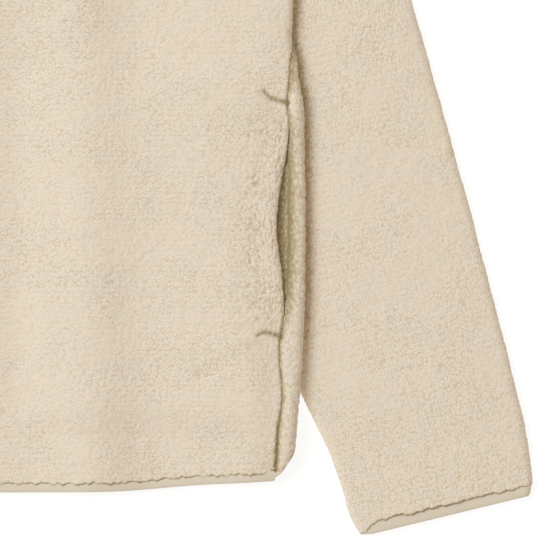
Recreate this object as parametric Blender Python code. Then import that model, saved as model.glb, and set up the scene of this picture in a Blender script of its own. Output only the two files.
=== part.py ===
"""Sherpa fleece jacket, zipped up and laid flat on its back.

+X is the wearer's left, +Y runs from the hem to the collar and +Z is up, away from the surface the
jacket lies on. Tables and sizes are in millimetres, measured from the hem at the centre front. Each
cloth piece is a grid laid on a curved sheet and given its thickness by a Solidify modifier, but for
the sleeves, whose grid goes round both sides of their cloth.
"""

import math

import bmesh
import bpy
import numpy as np
from mathutils import Matrix

MM = 0.001

# Driving dimensions
CLOTH = 5.0  # pile fleece, base cloth and curls together
HALF = CLOTH / 2
GAP = 0.3  # between pieces that meet
SEAM_GAP = 0.6  # between the front's and the back's edges
ROLLED_SEAM_GAP = 3.2  # the same where the seam is on the rolled edge
FOLD = 2.9  # radius of a flat fold, to the middle of the cloth
BINDING_WIDTH = 6.4
BINDING = 3.0  # thickness of the knit binding round the raw edge
ORIGIN_Y = 332.95  # middle of the jacket's length, from the hem at the centre front

ARMPIT_Y = 390.0
STACK = 2 * (FOLD + HALF) + 0.9  # height of a flattened sleeve, with a little air above it
BACK_RAMP = 38.0  # width in which the back climbs onto the sleeve that lies under it
FRONT_RAMP = 130.0
LIFT_EARLY = 14.0  # the cloth is fully up this far before the sleeve's edge
LIFT_END = 28.0  # above the armpit, where the body is down on the surface again
LIFT_FADE = 46.0
SIDE_BLEND = 34.0  # width in which the front's sheet turns into the rolled side
SEAM_STRETCH = 6.0  # cloth next to a seam, gridded more closely
NECK_X = 91.0
NECK_Y = 645.0
SHOULDER_X = 274.0
SHOULDER_Y = 593.0
SHOULDER_OUT = (0.27, 0.963)  # direction square to the shoulder line
BACK_NECK_Y = 627.0
COLLAR_BASE = 5.0  # from the back neckline's grid line to the collar's
COLLAR_BASE_DROP = 3.6  # the same line is lower by this at the collar's side
COLLAR_CREST_Y = 697.0
COLLAR_LEVEL_Y = 600.0  # above this the collar keeps its height
COLLAR_STEPS = (0.0, 0.33, 0.67, 1.0)
COLLAR_BACK_X = (88.0, 62.0, 32.0, 0.0)
COLLAR_SIDE_IN = 3.0  # the foot of the collar's side, clear of the shoulder's end
COLLAR_SIDE_UP = 6.5
NECK_BLEND = 12.0
SLOPE_ROW = 15  # from this grid row the back's rows turn to the slope of the shoulder
SLOPE_ROWS = 10

FRONT_EDGE = 9.0  # front edge, from the middle of the zip
ZIP_RISE = 2.5  # by which the front lies higher over the zip tape
ZIP_RISE_END = 50.0
ZIP_RISE_RAMP = 30.0
TAPE = 1.0
TAPE_INNER = 3.3
TAPE_OUTER = 13.5
TAPE_Z = 7.5
BOX_WIDTH = 11.0
BOX_LOW_Y = 1.0
BOX_BEVEL = 0.5
CHAIN_WIDTH = 6.0
CHAIN_Z = (6.3, 8.8)
ZIP_TOP_Y = 628.0
BOX_TOP_Y = 8.5
CHAIN_TOP_Y = 620.4
SLIDER_Y = (608.0, 624.5)
SLIDER_WIDTH = 10.0
SLIDER_TOP_Z = 10.3
SLIDER_BEVEL = 0.4
POST_WIDTH = 2.8
POST_LENGTH = 2.6
BRIDGE_Z = (12.5, 13.5)
BRIDGE_WIDTH = 1.8
BRIDGE_Y = (611.2, 620.0)
LOW_LEG_Y = (611.0, 612.6)
HIGH_LEG_Y = (618.6, 620.2)
LEG_ROOT = 0.4  # depth of the bridge's legs in the plate
LEG_SHORT = 0.3  # below the top of the bridge
HINGE_Y = 614.6
HINGE_Z = 11.4
CROSSBAR = 1.4
CROSSBAR_LENGTH = 6.4
CROSSBAR_SIDES = 16
PULL_LENGTH = 33.0
PULL_WIDTH = 8.0
PULL_THICKNESS = 1.3
PULL_BEVEL = 0.35
PLATE_START = 10.6  # from the hinge
ARM_X = (1.7, 3.1)
ARM_Y = (-11.0, 0.1)
ARM_INSET = 0.05

BAG = 1.0  # pocket bag cloth
BAG_RISE = 3.8  # by which the front lies higher over the pocket bag
BAG_RISE_X = 80.0
BAG_RISE_RAMP = 26.0
BAG_RISE_Y = (36.0, 307.0)
BAG_RISE_END = 24.0
BAG_GAP = 1.0  # below the front and above the back
BAG_FOLD = 0.8
BAG_INNER_X = 108.0
BAG_MOUTH_Y = (112.0, 268.0)
BAG_INNER_Y = (66.0, 262.0)
BAG_ROWS = 9
BAG_OUT = (0, 0.3, 0.55, 0.8, 1)
BAG_INSET = 2.0  # under the front's edge
FACING_OUT = (0.35, 0.7, 1)  # the bag's rear cloth, seen in the mouth, up to the back's edge
FACING_GAP = 0.9
FACING_DROP = 0.7
MOUTH_NARROW = 1.5  # a mouth no wider than this is closed
MOUTH_WIDE = 6.0
MERGE = 0.01


class Table:
    """Rows under named columns, read as smooth curves over the first column."""

    def __init__(self, columns, *rows):
        self.names = columns.split()
        self.rows = np.array(rows, float)

    def at(self, key, column):
        x = self.rows[:, 0]
        y = self.rows[:, self.names.index(column)]
        slope = np.gradient(y, x)
        key = np.clip(key, x[0], x[-1])
        i = np.clip(np.searchsorted(x, key) - 1, 0, len(x) - 2)
        span = x[i + 1] - x[i]
        t = (key - x[i]) / span
        blend = t * t * (3 - 2 * t)
        bow = span * t * (1 - t) * (slope[i] * (1 - t) - slope[i + 1] * t)
        return y[i] * (1 - blend) + y[i + 1] * blend + bow


# Side of the body: outermost x, radius of the rolled edge, and how far the front's and the back's
# edges lie past the start of the roll (negative: short of it, on top). They part at the pocket mouth.
SIDE = Table(
    "y edge roll front back",
    (0, 275.0, 4.3, -5.2, -5.2),
    (20, 277.5, 4.3, -6.4, -6.4),
    (36, 279.5, 4.3, -7.7, -7.7),
    (64, 281.4, 4.3, -5.8, -5.8),
    (92, 282.8, 4.3, -9.0, -9.0),
    (108, 283.4, 4.3, -9.4, -9.2),
    (120, 284.0, 4.3, -7.9, -6.5),
    (150, 284.8, 4.3, -10.0, -5.5),
    (187, 285.0, 4.3, -14.2, -5.0),
    (218, 285.0, 4.3, -10.8, -5.0),
    (240, 284.7, 4.3, -6.6, -4.2),
    (257, 284.4, 4.3, -4.2, -3.2),
    (273, 283.6, 4.3, -4.5, -4.4),
    (288, 280.7, 4.3, -0.2, -0.2),
    (302, 279.3, 4.3, 1.7, 1.7),
    (317, 276.0, 4.0, 7.0, 7.0),
    (332, 276.5, 3.6, 6.4, 6.4),
    (360, 277.5, 3.2, 5.6, 5.6),
    (390, 279.0, 2.9, 5.0, 5.0),
)

# Grid rows of the body: height at the centre and at the side, and the share of the neckline climbed.
BODY_ROWS = Table(
    "row centre side neck",
    (0, 7, 15, 0),
    (1, 30, 30, 0),
    (2, 62, 60, 0),
    (3, 92, 90, 0),
    (4, 110, 108, 0),
    (5, 122, 120, 0),
    (6, 152, 150, 0),
    (7, 188, 185, 0),
    (8, 222, 218, 0),
    (9, 250, 244, 0),
    (10, 264, 258, 0),
    (11, 280, 273, 0),
    (12, 296, 288, 0),
    (13, 312, 302, 0),
    (14, 322, 309, 0),
    (15, 333, 317, 0),
    (16, 370, 345, 0),
    (17, 405, 368, 0),
    (18, 440, 390, 0),
    (19, 480, 415, 0),
    (20, 520, 450, 0),
    (21, 560, 495, 0),
    (22, 580, 530, 0.25),
    (23, 600, 560, 0.5),
    (24, 616, 580, 0.75),
    (25, 627, 593, 1),
)
ROW_COUNT = len(BODY_ROWS.rows)
NECK_ROW = 21  # the row that starts at the foot of the collar

FRONT_NECK = Table(
    "share x y top_x top_y",
    (0, 9.0, 560.0, 9.0, 630.0),
    (0.25, 38.0, 565.0, 36.0, 634.0),
    (0.5, 64.0, 585.0, 60.0, 647.0),
    (0.75, 82.0, 614.0, 77.0, 668.0),
    (1, 91.0, 645.0, 87.0, 694.0),
)

ARMHOLE = Table(
    "y x",
    (390, 275.8),
    (403, 271.8),
    (420, 268.5),
    (465, 263.5),
    (530, 266.0),
    (593, 274.0),
)

HEM_FRONT = Table("x y", (0, 0), (110, 0), (155, 0.7), (211, 4.9), (246, 7.0), (266, 8.8))

# Hem of the back, along the cloth from the centre back, under the jacket and up round its side.
HEM_BACK = Table(
    "along y",
    (0, 2.0),
    (150, 4.0),
    (195, 10.0),
    (232, 24.0),
    (256, 35.0),
    (270, 39.0),
    (274, 37.0),
    (277.5, 31.0),
    (281, 21.5),
    (284.2, 16.5),
    (288, 12.5),
    (291, 9.0),
)
HEM_TUCK = 0.55  # share by which the binding narrows where the hem climbs round the side
HEM_STEEP_X = 262.0  # along the cloth, where the back's hem begins to climb
HEM_STEEP_WIDTH = 8.0
HEM_CLEAR = 2.6  # more room between the fleece and its binding there
HEM_FADE = 90.0  # height in which the rows straighten out above the hem
ROLLED_FROM_Y = 270.0  # from here up the side seam is on the rolled edge
ROLLED_FADE = 30.0

# Stations of the sleeve from the armhole to the cuff: its inner and its outer edge as seen from above.
# The first ones turn about the armpit.
SLEEVE = Table(
    "row inner_x inner_y outer_x outer_y",
    (0, 283.0, 384.0, 275.0, 598.5),
    (1, 287.0, 382.0, 296.0, 583.0),
    (2, 290.0, 377.5, 309.0, 532.0),
    (3, 291.5, 371.0, 327.0, 460.0),
    (4, 290.5, 362.0, 344.0, 398.0),
    (5, 285.0, 349.0, 356.0, 354.5),
    (6, 273.0, 328.0, 367.0, 315.5),
    (7, 257.0, 300.0, 378.5, 275.0),
    (8, 242.0, 265.0, 390.0, 233.0),
    (9, 235.0, 222.0, 401.6, 191.0),
    (10, 243.0, 164.0, 414.0, 143.0),
    (11, 264.0, 108.0, 425.0, 101.0),
    (12, 284.5, 63.0, 432.5, 70.5),
    (13, 303.0, 24.0, 439.3, 41.0),
    (14, 319.0, -24.0, 444.8, 5.5),
)
SLEEVE_STATIONS = len(SLEEVE.rows)
SLEEVE_INNER = Table("y x", *[(row[2], row[1]) for row in SLEEVE.rows[::-1]])
ARMHOLE_FADE = 4.0  # stations in which the sleeve's rows straighten out below the armhole
ARMHOLE_GAP = 1.3
ARMPIT_CLEAR = 6.0  # more room at the armpit and at the shoulder's end
ARMPIT_CLEAR_HEIGHT = 22.0
SHOULDER_CLEAR = 1.2
SHOULDER_CLEAR_Y = 560.0
CUFF_DOWN = (4.2, -6.9)  # from the end of the fleece to the end of the cuff binding, inner edge
CUFF_OUTER_DOWN = (-1.6, -7.3)  # the same at the outer edge, which the thinner binding leaves inset
SLEEVE_CROWN = 1.8  # by which the sleeve is fuller outside the body's edge
CROWN_X = 283.0
CROWN_RAMP = 40.0
CROWN_ROUND = 0.7

# Long soft folds of the front: place of the crest at the hem, its lean, half width, height and reach.
FOLDS = Table(
    "x lean width height low high",
    (52, 0.02, 24, 1.6, 60, 520),
    (137, -0.03, 28, 3.2, -40, 420),
    (243, 0.0, 30, 1.8, 40, 300),
    (196, 0.12, 22, 2.0, 330, 560),
)
FOLD_START = 60.0  # length in which a long fold grows from its low end
FOLD_FINISH = 90.0

FRONT_FLATS = np.array([0, 0.2, 0.42, 0.6, 0.74, 0.87, 1.0])
FRONT_TURNS = np.array([0.45, 0.88, 1.0])
BACK_FLATS = np.array([0, 0.17, 0.332, 0.57, 0.69, 0.77, 0.84, 0.91, 1.0])
BACK_TURNS = np.array([0.2, 0.45, 0.7, 0.92, 1.0])
ROLL_TURNS = np.radians([35, 70, 90])
ROLL_DROP = FOLD - 0.7  # the front's and the back's edges stop short of each other at the shoulder
RING_TURNS = np.radians([45, 90, 135])


def smooth(t):
    t = np.clip(t, 0, 1)
    return t * t * (3 - 2 * t)


def lift(x, y, ramp):
    """Rise of the body's side, which lies on the sleeve."""
    across = smooth((x - SLEEVE_INNER.at(y, "x") + ramp + LIFT_EARLY) / ramp)
    return STACK * across * smooth((ARMPIT_Y + LIFT_END - y) / LIFT_FADE)


def roll_start(y):
    return SIDE.at(y, "edge") - SIDE.at(y, "roll") - HALF


def back_height(x, y):
    return HALF + lift(x, y, BACK_RAMP)


def fold_relief(x, y):
    relief = np.zeros(np.broadcast(x, y).shape)
    for crest, lean, width, height, low, high in FOLDS.rows:
        reach = smooth((y - low) / FOLD_START) * smooth((high - y) / FOLD_FINISH)
        relief = relief + height * reach * np.exp(-(((x - crest - lean * y) / width) ** 2))
    return relief


def front_height(x, y):
    """Middle of the front's cloth: over the back, the zip tape, the pocket bag and the sleeve."""
    low_y, high_y = BAG_RISE_Y
    bag = BAG_RISE * smooth((x - BAG_RISE_X) / BAG_RISE_RAMP)
    bag = bag * smooth((y - low_y) / BAG_RISE_END) * smooth((high_y - y) / BAG_RISE_END)
    over_zip = ZIP_RISE * smooth((ZIP_RISE_END - x) / ZIP_RISE_RAMP)
    height = HALF + 2 * FOLD + lift(x, y, FRONT_RAMP) + over_zip + bag + fold_relief(x, y)
    start = roll_start(y)
    at_side = back_height(start, y) + 2 * SIDE.at(y, "roll")
    return height + (at_side - height) * smooth((x - start + SIDE_BLEND) / SIDE_BLEND)


def top_points(along, y):
    """Places on the front's sheet, and round its side where it rolls over the edge."""
    start = roll_start(y)
    roll = SIDE.at(y, "roll")
    turn = np.maximum(along - start, 0) / roll
    x = np.minimum(along, start) + roll * np.sin(turn)
    z = front_height(np.minimum(along, start), y) - roll * (1 - np.cos(turn))
    return np.stack([x, y, z], axis=-1)


def under_points(along, y):
    """Places on the back's sheet: underneath, up round the side and in again on top."""
    start = roll_start(y)
    roll = SIDE.at(y, "roll")
    turn = np.clip((along - start) / roll, 0, math.pi)
    over = np.maximum(along - start - math.pi * roll, 0)
    x = np.minimum(along, start) + roll * np.sin(turn) - over
    z = back_height(np.minimum(along, start), y) + roll * (1 - np.cos(turn))
    z = np.where(over > 0, front_height(start - over, y), z)
    return np.stack([x, y, z], axis=-1)


def spread(first, last, start, flats, turns):
    """Grid places from first to last, closer together past the start of the roll."""
    begin = np.minimum(start, last - SEAM_STRETCH)
    return np.concatenate([first + (begin - first) * flats, begin + (last - begin) * turns])


def body_edge(side_y, column):
    """Side edge of the front or the back, along the cloth: the side seam, then the armhole."""
    if side_y >= ARMPIT_Y:
        return ARMHOLE.at(side_y, "x")
    start = roll_start(side_y)
    rolled = smooth((side_y - ROLLED_FROM_Y) / ROLLED_FADE)
    gap = SEAM_GAP + (ROLLED_SEAM_GAP - SEAM_GAP) * rolled
    if column == "front":
        return start + SIDE.at(side_y, "front") - gap / 2
    return start + math.pi * SIDE.at(side_y, "roll") - SIDE.at(side_y, "back") - gap / 2


def hem_climb(along):
    """1 where the back's hem climbs round the side, and 0 underneath."""
    return smooth((along - HEM_STEEP_X) / HEM_STEEP_WIDTH)


def row_heights(along, centre_y, side_y, hem):
    """Height of each place in a row, which follows the hem near it."""
    share = (along - along[0]) / (along[-1] - along[0])
    y = centre_y + (side_y - centre_y) * share
    above = centre_y - BODY_ROWS.rows[0, 1]
    fade = smooth(1 - above / HEM_FADE)
    return y * (1 - fade) + (hem + BINDING_WIDTH + 2 * GAP + above) * fade


def front_points():
    rows = []
    for row, centre_y, side_y, neck in BODY_ROWS.rows:
        first = FRONT_NECK.at(neck, "x")
        last = body_edge(side_y, "front")
        along = spread(first, last, roll_start(side_y), FRONT_FLATS, FRONT_TURNS)
        left_y = FRONT_NECK.at(neck, "y") if row >= NECK_ROW else centre_y
        y = row_heights(along, left_y, side_y, HEM_FRONT.at(along, "y"))
        rows.append(top_points(along, y))
    for turn in ROLL_TURNS:
        out = FOLD * math.sin(turn)
        drop = ROLL_DROP * (1 - math.cos(turn))
        rows.append(rows[ROW_COUNT - 1] + (SHOULDER_OUT[0] * out, SHOULDER_OUT[1] * out, -drop))
    return np.array(rows)


def back_points():
    rows = []
    for row, centre_y, side_y, neck in BODY_ROWS.rows:
        last = body_edge(side_y, "back")
        along = spread(0.0, last, roll_start(side_y), BACK_FLATS, BACK_TURNS)
        hem = HEM_BACK.at(along, "y") + HEM_CLEAR * hem_climb(along)
        y = row_heights(along, centre_y, side_y, hem)
        shoulder = NECK_Y + (SHOULDER_Y - NECK_Y) * (along - NECK_X) / (SHOULDER_X - NECK_X)
        neckline = BACK_NECK_Y + (NECK_Y - BACK_NECK_Y) * (along / NECK_X) ** 2
        top = np.where(along < NECK_X, neckline, shoulder)
        level = BACK_NECK_Y + (SHOULDER_Y - BACK_NECK_Y) * along / along[-1]
        y = y + (top - level) * smooth((row - SLOPE_ROW) / SLOPE_ROWS) ** 2
        rows.append(under_points(along, y))
    for turn in ROLL_TURNS:
        out = FOLD * math.sin(turn)
        at_shoulder = smooth((rows[ROW_COUNT - 1][:, 0] - NECK_X + NECK_BLEND) / NECK_BLEND)
        step = np.zeros_like(rows[0])
        step[:, 0] = SHOULDER_OUT[0] * out * at_shoulder
        step[:, 1] = SHOULDER_OUT[1] * out
        step[:, 2] = ROLL_DROP * (1 - math.cos(turn)) * at_shoulder
        rows.append(rows[ROW_COUNT - 1] + step)
    half = np.array(rows)
    mirrored = half[:, :0:-1] * (-1, 1, 1)
    return np.concatenate([mirrored, half], axis=1)


def ring(inner, outer, share, bow, crown, radius):
    """One flattened ring of a sleeve, from its inner edge along the underside and back on top."""
    across = outer - inner
    width = np.hypot(*across)
    across = across / width
    begin = FOLD + HALF
    line = inner + np.outer(begin + (width - 2 * begin) * share, across) + bow
    turns = radius * np.stack([np.sin(RING_TURNS), 1 - np.cos(RING_TURNS)], axis=-1)
    low_z = begin - radius
    outer_turn = np.column_stack([line[-1] + np.outer(turns[:, 0], across), low_z + turns[:, 1]])
    inner_turn = np.column_stack(
        [line[0] - np.outer(turns[::-1, 0], across), low_z + turns[::-1, 1]]
    )
    under = np.column_stack([line, np.full(len(line), low_z)])
    top = np.column_stack([line, np.full(len(line), low_z + 2 * radius) + crown])[::-1]
    return np.concatenate([under, outer_turn, top, inner_turn, under[:1]])


def sleeve_share():
    """Stations across the sleeve, in line with the body's rows at the armhole."""
    rows = BODY_ROWS.rows[BODY_ROWS.rows[:, 2] >= ARMPIT_Y, 2]
    return (rows - ARMPIT_Y) / (SHOULDER_Y - ARMPIT_Y)


def sleeve_points():
    """The sleeve's outer surface from the armhole to the cuff, and its inner surface back again."""
    share = sleeve_share()
    armhole_y = ARMPIT_Y + (SHOULDER_Y - ARMPIT_Y) * share
    low = smooth((ARMPIT_Y + ARMPIT_CLEAR_HEIGHT - armhole_y) / ARMPIT_CLEAR_HEIGHT)
    high = smooth((armhole_y - SHOULDER_CLEAR_Y) / (SHOULDER_Y - SHOULDER_CLEAR_Y))
    clear = ARMHOLE_GAP + ARMPIT_CLEAR * low + SHOULDER_CLEAR * high
    armhole = np.column_stack([ARMHOLE.at(armhole_y, "x") + clear, armhole_y])
    outside = []
    inside = []
    for station in range(SLEEVE_STATIONS):
        inner = np.array([SLEEVE.at(station, "inner_x"), SLEEVE.at(station, "inner_y")])
        outer = np.array([SLEEVE.at(station, "outer_x"), SLEEVE.at(station, "outer_y")])
        plain = ring(inner, outer, share, 0.0, 0.0, FOLD)[: len(share), :2]
        if station == 0:
            straight = plain
        fade = smooth(1 - station / ARMHOLE_FADE)
        bow = (armhole - straight) * fade
        crown = SLEEVE_CROWN * smooth((plain[:, 0] + bow[:, 0] - CROWN_X) / CROWN_RAMP)
        crown = crown * np.sin(math.pi * share) ** CROWN_ROUND * smooth(station / ARMHOLE_FADE)
        outside.append(ring(inner, outer, share, bow, crown, FOLD + HALF))
        inside.append(ring(inner, outer, share, bow, crown, FOLD - HALF))
    return np.array(outside + inside[::-1] + outside[:1])


def cuff_points():
    """Binding of the cuff: a short tube that carries on from the sleeve's last ring."""
    share = sleeve_share()
    end = SLEEVE.rows[-1]
    rows = []
    for step in (2 * GAP / BINDING_WIDTH, 1.0):
        inner = end[1:3] + np.array(CUFF_DOWN) * step
        outer = end[3:5] + np.array(CUFF_OUTER_DOWN) * step
        rows.append(ring(inner, outer, share, 0.0, 0.0, FOLD))
    return np.array(rows)


def hem_points():
    """Binding of the hem: one band from the zip round the left side, the back and the right side."""
    side_y = BODY_ROWS.rows[0, 2]
    start = roll_start(side_y)
    front = spread(FRONT_EDGE, body_edge(side_y, "front"), start, FRONT_FLATS, FRONT_TURNS)
    back = spread(0.0, body_edge(side_y, "back"), start, BACK_FLATS, BACK_TURNS)[::-1]
    rows = []
    for step in (0.0, BINDING_WIDTH):
        width = step * (1 - HEM_TUCK * hem_climb(back))
        on_top = top_points(front, HEM_FRONT.at(front, "y") + step)
        beneath = under_points(back, HEM_BACK.at(back, "y") + width)
        half = np.concatenate([on_top[:-1], (on_top[-1:] + beneath[:1]) / 2, beneath[1:]])
        mirrored = half[-2::-1] * (-1, 1, 1)
        rows.append(np.concatenate([half, mirrored]))
    return np.array(rows)


def collar_points():
    """Stand collar, folded flat at its two sides, its front half over its back half."""
    front = FRONT_NECK.rows
    back_x = np.array(COLLAR_BACK_X)
    back_share = back_x / back_x[0]
    rows = []
    for step in COLLAR_STEPS:
        x = front[:, 1] + (front[:, 3] - front[:, 1]) * step
        y = front[:, 2] + (front[:, 4] - front[:, 2]) * step + 2 * GAP * (1 - step)
        x[-1] = x[-1] - COLLAR_SIDE_IN * (1 - step)
        y[-1] = y[-1] + COLLAR_SIDE_UP * (1 - step)
        z = front_height(x, np.minimum(y, COLLAR_LEVEL_Y))
        on_top = np.column_stack([x, y, z])
        turns = FOLD * np.stack([np.sin(RING_TURNS), np.cos(RING_TURNS) - 1], axis=-1)
        side = np.column_stack(
            [x[-1] + turns[:, 0], np.full(len(turns), y[-1]), z[-1] + turns[:, 1]]
        )
        rise = y[-1] - BACK_NECK_Y - COLLAR_BASE_DROP
        base = BACK_NECK_Y + COLLAR_BASE + rise * back_share**2
        crest = COLLAR_CREST_Y + (y[-1] - COLLAR_CREST_Y) * back_share**2
        under_y = np.where(back_share == 1, y[-1], base + (crest - base) * step)
        under_x = back_share * x[-1]
        beneath = np.column_stack([under_x, under_y, np.full(len(back_x), HALF)])
        half = np.concatenate([on_top, side, beneath])
        rows.append(np.concatenate([half, half[-2::-1] * (-1, 1, 1)]))
    return np.array(rows)


def bag_points():
    """Pocket bag: one cloth from the front's edge in to a fold, back out and up to the back's edge."""
    upper = [(1, out) for out in BAG_OUT[::-1]]
    lower = [(0, out) for out in BAG_OUT]
    rows = []
    for share in np.linspace(0, 1, BAG_ROWS):
        mouth_y = BAG_MOUTH_Y[0] + (BAG_MOUTH_Y[1] - BAG_MOUTH_Y[0]) * share
        inner_y = BAG_INNER_Y[0] + (BAG_INNER_Y[1] - BAG_INNER_Y[0]) * share
        edge = body_edge(mouth_y, "front") - BAG_INSET
        columns = []
        for layer, out in [*upper, (0.5, 0), *lower]:
            x = BAG_INNER_X + (edge - BAG_INNER_X) * out - BAG_FOLD * (layer == 0.5)
            y = inner_y + (mouth_y - inner_y) * smooth(out)
            z = front_height(x, y) - HALF - BAG_GAP - BAG / 2 - 2 * BAG_FOLD * (1 - layer)
            columns.append((x, y, z))
        back_edge = under_points(body_edge(mouth_y, "back"), mouth_y)
        low_z = columns[-1][2]
        mouth = back_edge[0] - edge - BAG_INSET
        room = smooth((mouth - MOUTH_NARROW) / (MOUTH_WIDE - MOUTH_NARROW))
        for out in FACING_OUT:
            x = edge + (back_edge[0] - FACING_GAP - edge) * out
            z = low_z + (back_edge[2] - FACING_DROP - low_z) * room * smooth(out)
            columns.append((x, mouth_y, z))
        rows.append(columns)
    return np.array(rows)


def zip_tape_box(side):
    low, high = sorted((side * TAPE_INNER, side * TAPE_OUTER))
    return box((low, BOX_TOP_Y, TAPE_Z - TAPE / 2), (high, ZIP_TOP_Y, TAPE_Z + TAPE / 2))


def joined(piece, others):
    """Unites the piece with helpers that are kept only as shapes to unite."""
    for other in others:
        other.hide_render = True
        other.display_type = "WIRE"
        union = piece.modifiers.new("Join", "BOOLEAN")
        union.operation = "UNION"
        union.object = other
    return piece


def slider(metal, root):
    """Zip slider: two plates and the post between them, and on top the bridge that holds the pull."""
    plate_low_y, plate_high_y = SLIDER_Y
    low_z, high_z = CHAIN_Z
    base = box(
        (-SLIDER_WIDTH / 2, plate_low_y, high_z + GAP),
        (SLIDER_WIDTH / 2, plate_high_y, SLIDER_TOP_Z),
    )
    bevel_all(base, SLIDER_BEVEL)
    piece = finish("zip_slider", base, metal, root)
    post_y = CHAIN_TOP_Y + GAP
    post_x = POST_WIDTH / 2
    bridge_x = BRIDGE_WIDTH / 2
    leg_z = SLIDER_TOP_Z - LEG_ROOT
    leg_top = BRIDGE_Z[1] - LEG_SHORT
    parts = {
        "slider_lower_plate": (
            (-SLIDER_WIDTH / 2, plate_low_y, CLOTH + GAP),
            (SLIDER_WIDTH / 2, plate_high_y, low_z - GAP),
        ),
        "slider_post": (
            (-post_x, post_y, CLOTH + 2 * GAP),
            (post_x, post_y + POST_LENGTH, SLIDER_TOP_Z - GAP),
        ),
        "bridge_low_leg": ((-bridge_x, LOW_LEG_Y[0], leg_z), (bridge_x, LOW_LEG_Y[1], leg_top)),
        "bridge_high_leg": ((-bridge_x, HIGH_LEG_Y[0], leg_z), (bridge_x, HIGH_LEG_Y[1], leg_top)),
        "bridge_bar": ((-bridge_x, BRIDGE_Y[0], BRIDGE_Z[0]), (bridge_x, BRIDGE_Y[1], BRIDGE_Z[1])),
    }
    helpers = [finish(name, box(*corners), metal, root) for name, corners in parts.items()]
    return joined(piece, helpers)


def pull(metal, root):
    """Pull tab: a plate on two arms, and the crossbar that turns under the slider's bridge."""
    hinge = bpy.data.objects.new("pull_hinge", None)
    hinge.location = (0, HINGE_Y * MM, HINGE_Z * MM)
    hinge.parent = root
    bpy.context.collection.objects.link(hinge)
    half = PULL_THICKNESS / 2
    plate_x = PULL_WIDTH / 2
    plate = box((-plate_x, -PULL_LENGTH, -half), (plate_x, -PLATE_START, half))
    bevel_all(plate, PULL_BEVEL)
    piece = finish("zip_pull", plate, metal, hinge)
    bar = bmesh.new()
    bmesh.ops.create_cone(
        bar,
        cap_ends=True,
        segments=CROSSBAR_SIDES,
        radius1=CROSSBAR / 2 * MM,
        radius2=CROSSBAR / 2 * MM,
        depth=CROSSBAR_LENGTH * MM,
        matrix=Matrix.Rotation(math.pi / 2, 4, "Y"),
    )
    arm_z = half - ARM_INSET
    left_arm = box((ARM_X[0], ARM_Y[0], -arm_z), (ARM_X[1], ARM_Y[1], arm_z))
    right_arm = box((-ARM_X[1], ARM_Y[0], -arm_z), (-ARM_X[0], ARM_Y[1], arm_z))
    helpers = [
        finish("pull_crossbar", bar, metal, hinge),
        finish("pull_left_arm", left_arm, metal, hinge),
        finish("pull_right_arm", right_arm, metal, hinge),
    ]
    return joined(piece, helpers)


def new_material(name, colour, roughness, metallic=0.0):
    material = bpy.data.materials.new(name)
    material.use_nodes = True
    shader = material.node_tree.nodes["Principled BSDF"]
    shader.inputs["Base Color"].default_value = (*colour, 1)
    shader.inputs["Roughness"].default_value = roughness
    shader.inputs["Metallic"].default_value = metallic
    material.diffuse_color = (*colour, 1)
    return material


def finish(name, mesh_tool, material, parent):
    mesh = bpy.data.meshes.new(name)
    mesh_tool.to_mesh(mesh)
    mesh_tool.free()
    mesh.shade_smooth()
    mesh.materials.append(material)
    piece = bpy.data.objects.new(name, mesh)
    piece.parent = parent
    bpy.context.collection.objects.link(piece)
    return piece


def cloth_piece(name, points, thickness, material, parent, closed=False):
    """A grid with its corners at the points, in rows of equal length, thickened on both sides.

    With a thickness of 0 the points already go round the cloth, outside and inside.
    """
    last_row, last_column = np.array(points.shape[:2]) - 1
    grid = bmesh.new()
    bmesh.ops.create_grid(grid, x_segments=last_column, y_segments=last_row, size=1)
    for corner in grid.verts:
        column = round((corner.co.x + 1) / 2 * last_column)
        row = round((corner.co.y + 1) / 2 * last_row)
        corner.co = points[row, column] * MM
    if closed:
        bmesh.ops.remove_doubles(grid, verts=grid.verts, dist=MERGE * MM)
    if thickness == 0:
        bmesh.ops.recalc_face_normals(grid, faces=grid.faces)
    piece = finish(name, grid, material, parent)
    if thickness > 0:
        wall = piece.modifiers.new("Wall", "SOLIDIFY")
        wall.thickness = thickness * MM
        wall.offset = 0
    return piece


def mirrored(points):
    return points[:, ::-1] * (-1, 1, 1)


def box(low, high):
    """A box as a mesh under work."""
    low = np.array(low) * MM
    high = np.array(high) * MM
    tool = bmesh.new()
    size = Matrix.Diagonal((*(high - low), 1))
    bmesh.ops.create_cube(tool, size=1, matrix=Matrix.Translation((low + high) / 2) @ size)
    return tool


def bevel_all(tool, width):
    bmesh.ops.bevel(
        tool,
        geom=tool.edges[:],
        offset=width * MM,
        offset_type="OFFSET",
        affect="EDGES",
        segments=1,
        profile=0.5,
        material=-1,
    )


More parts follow.
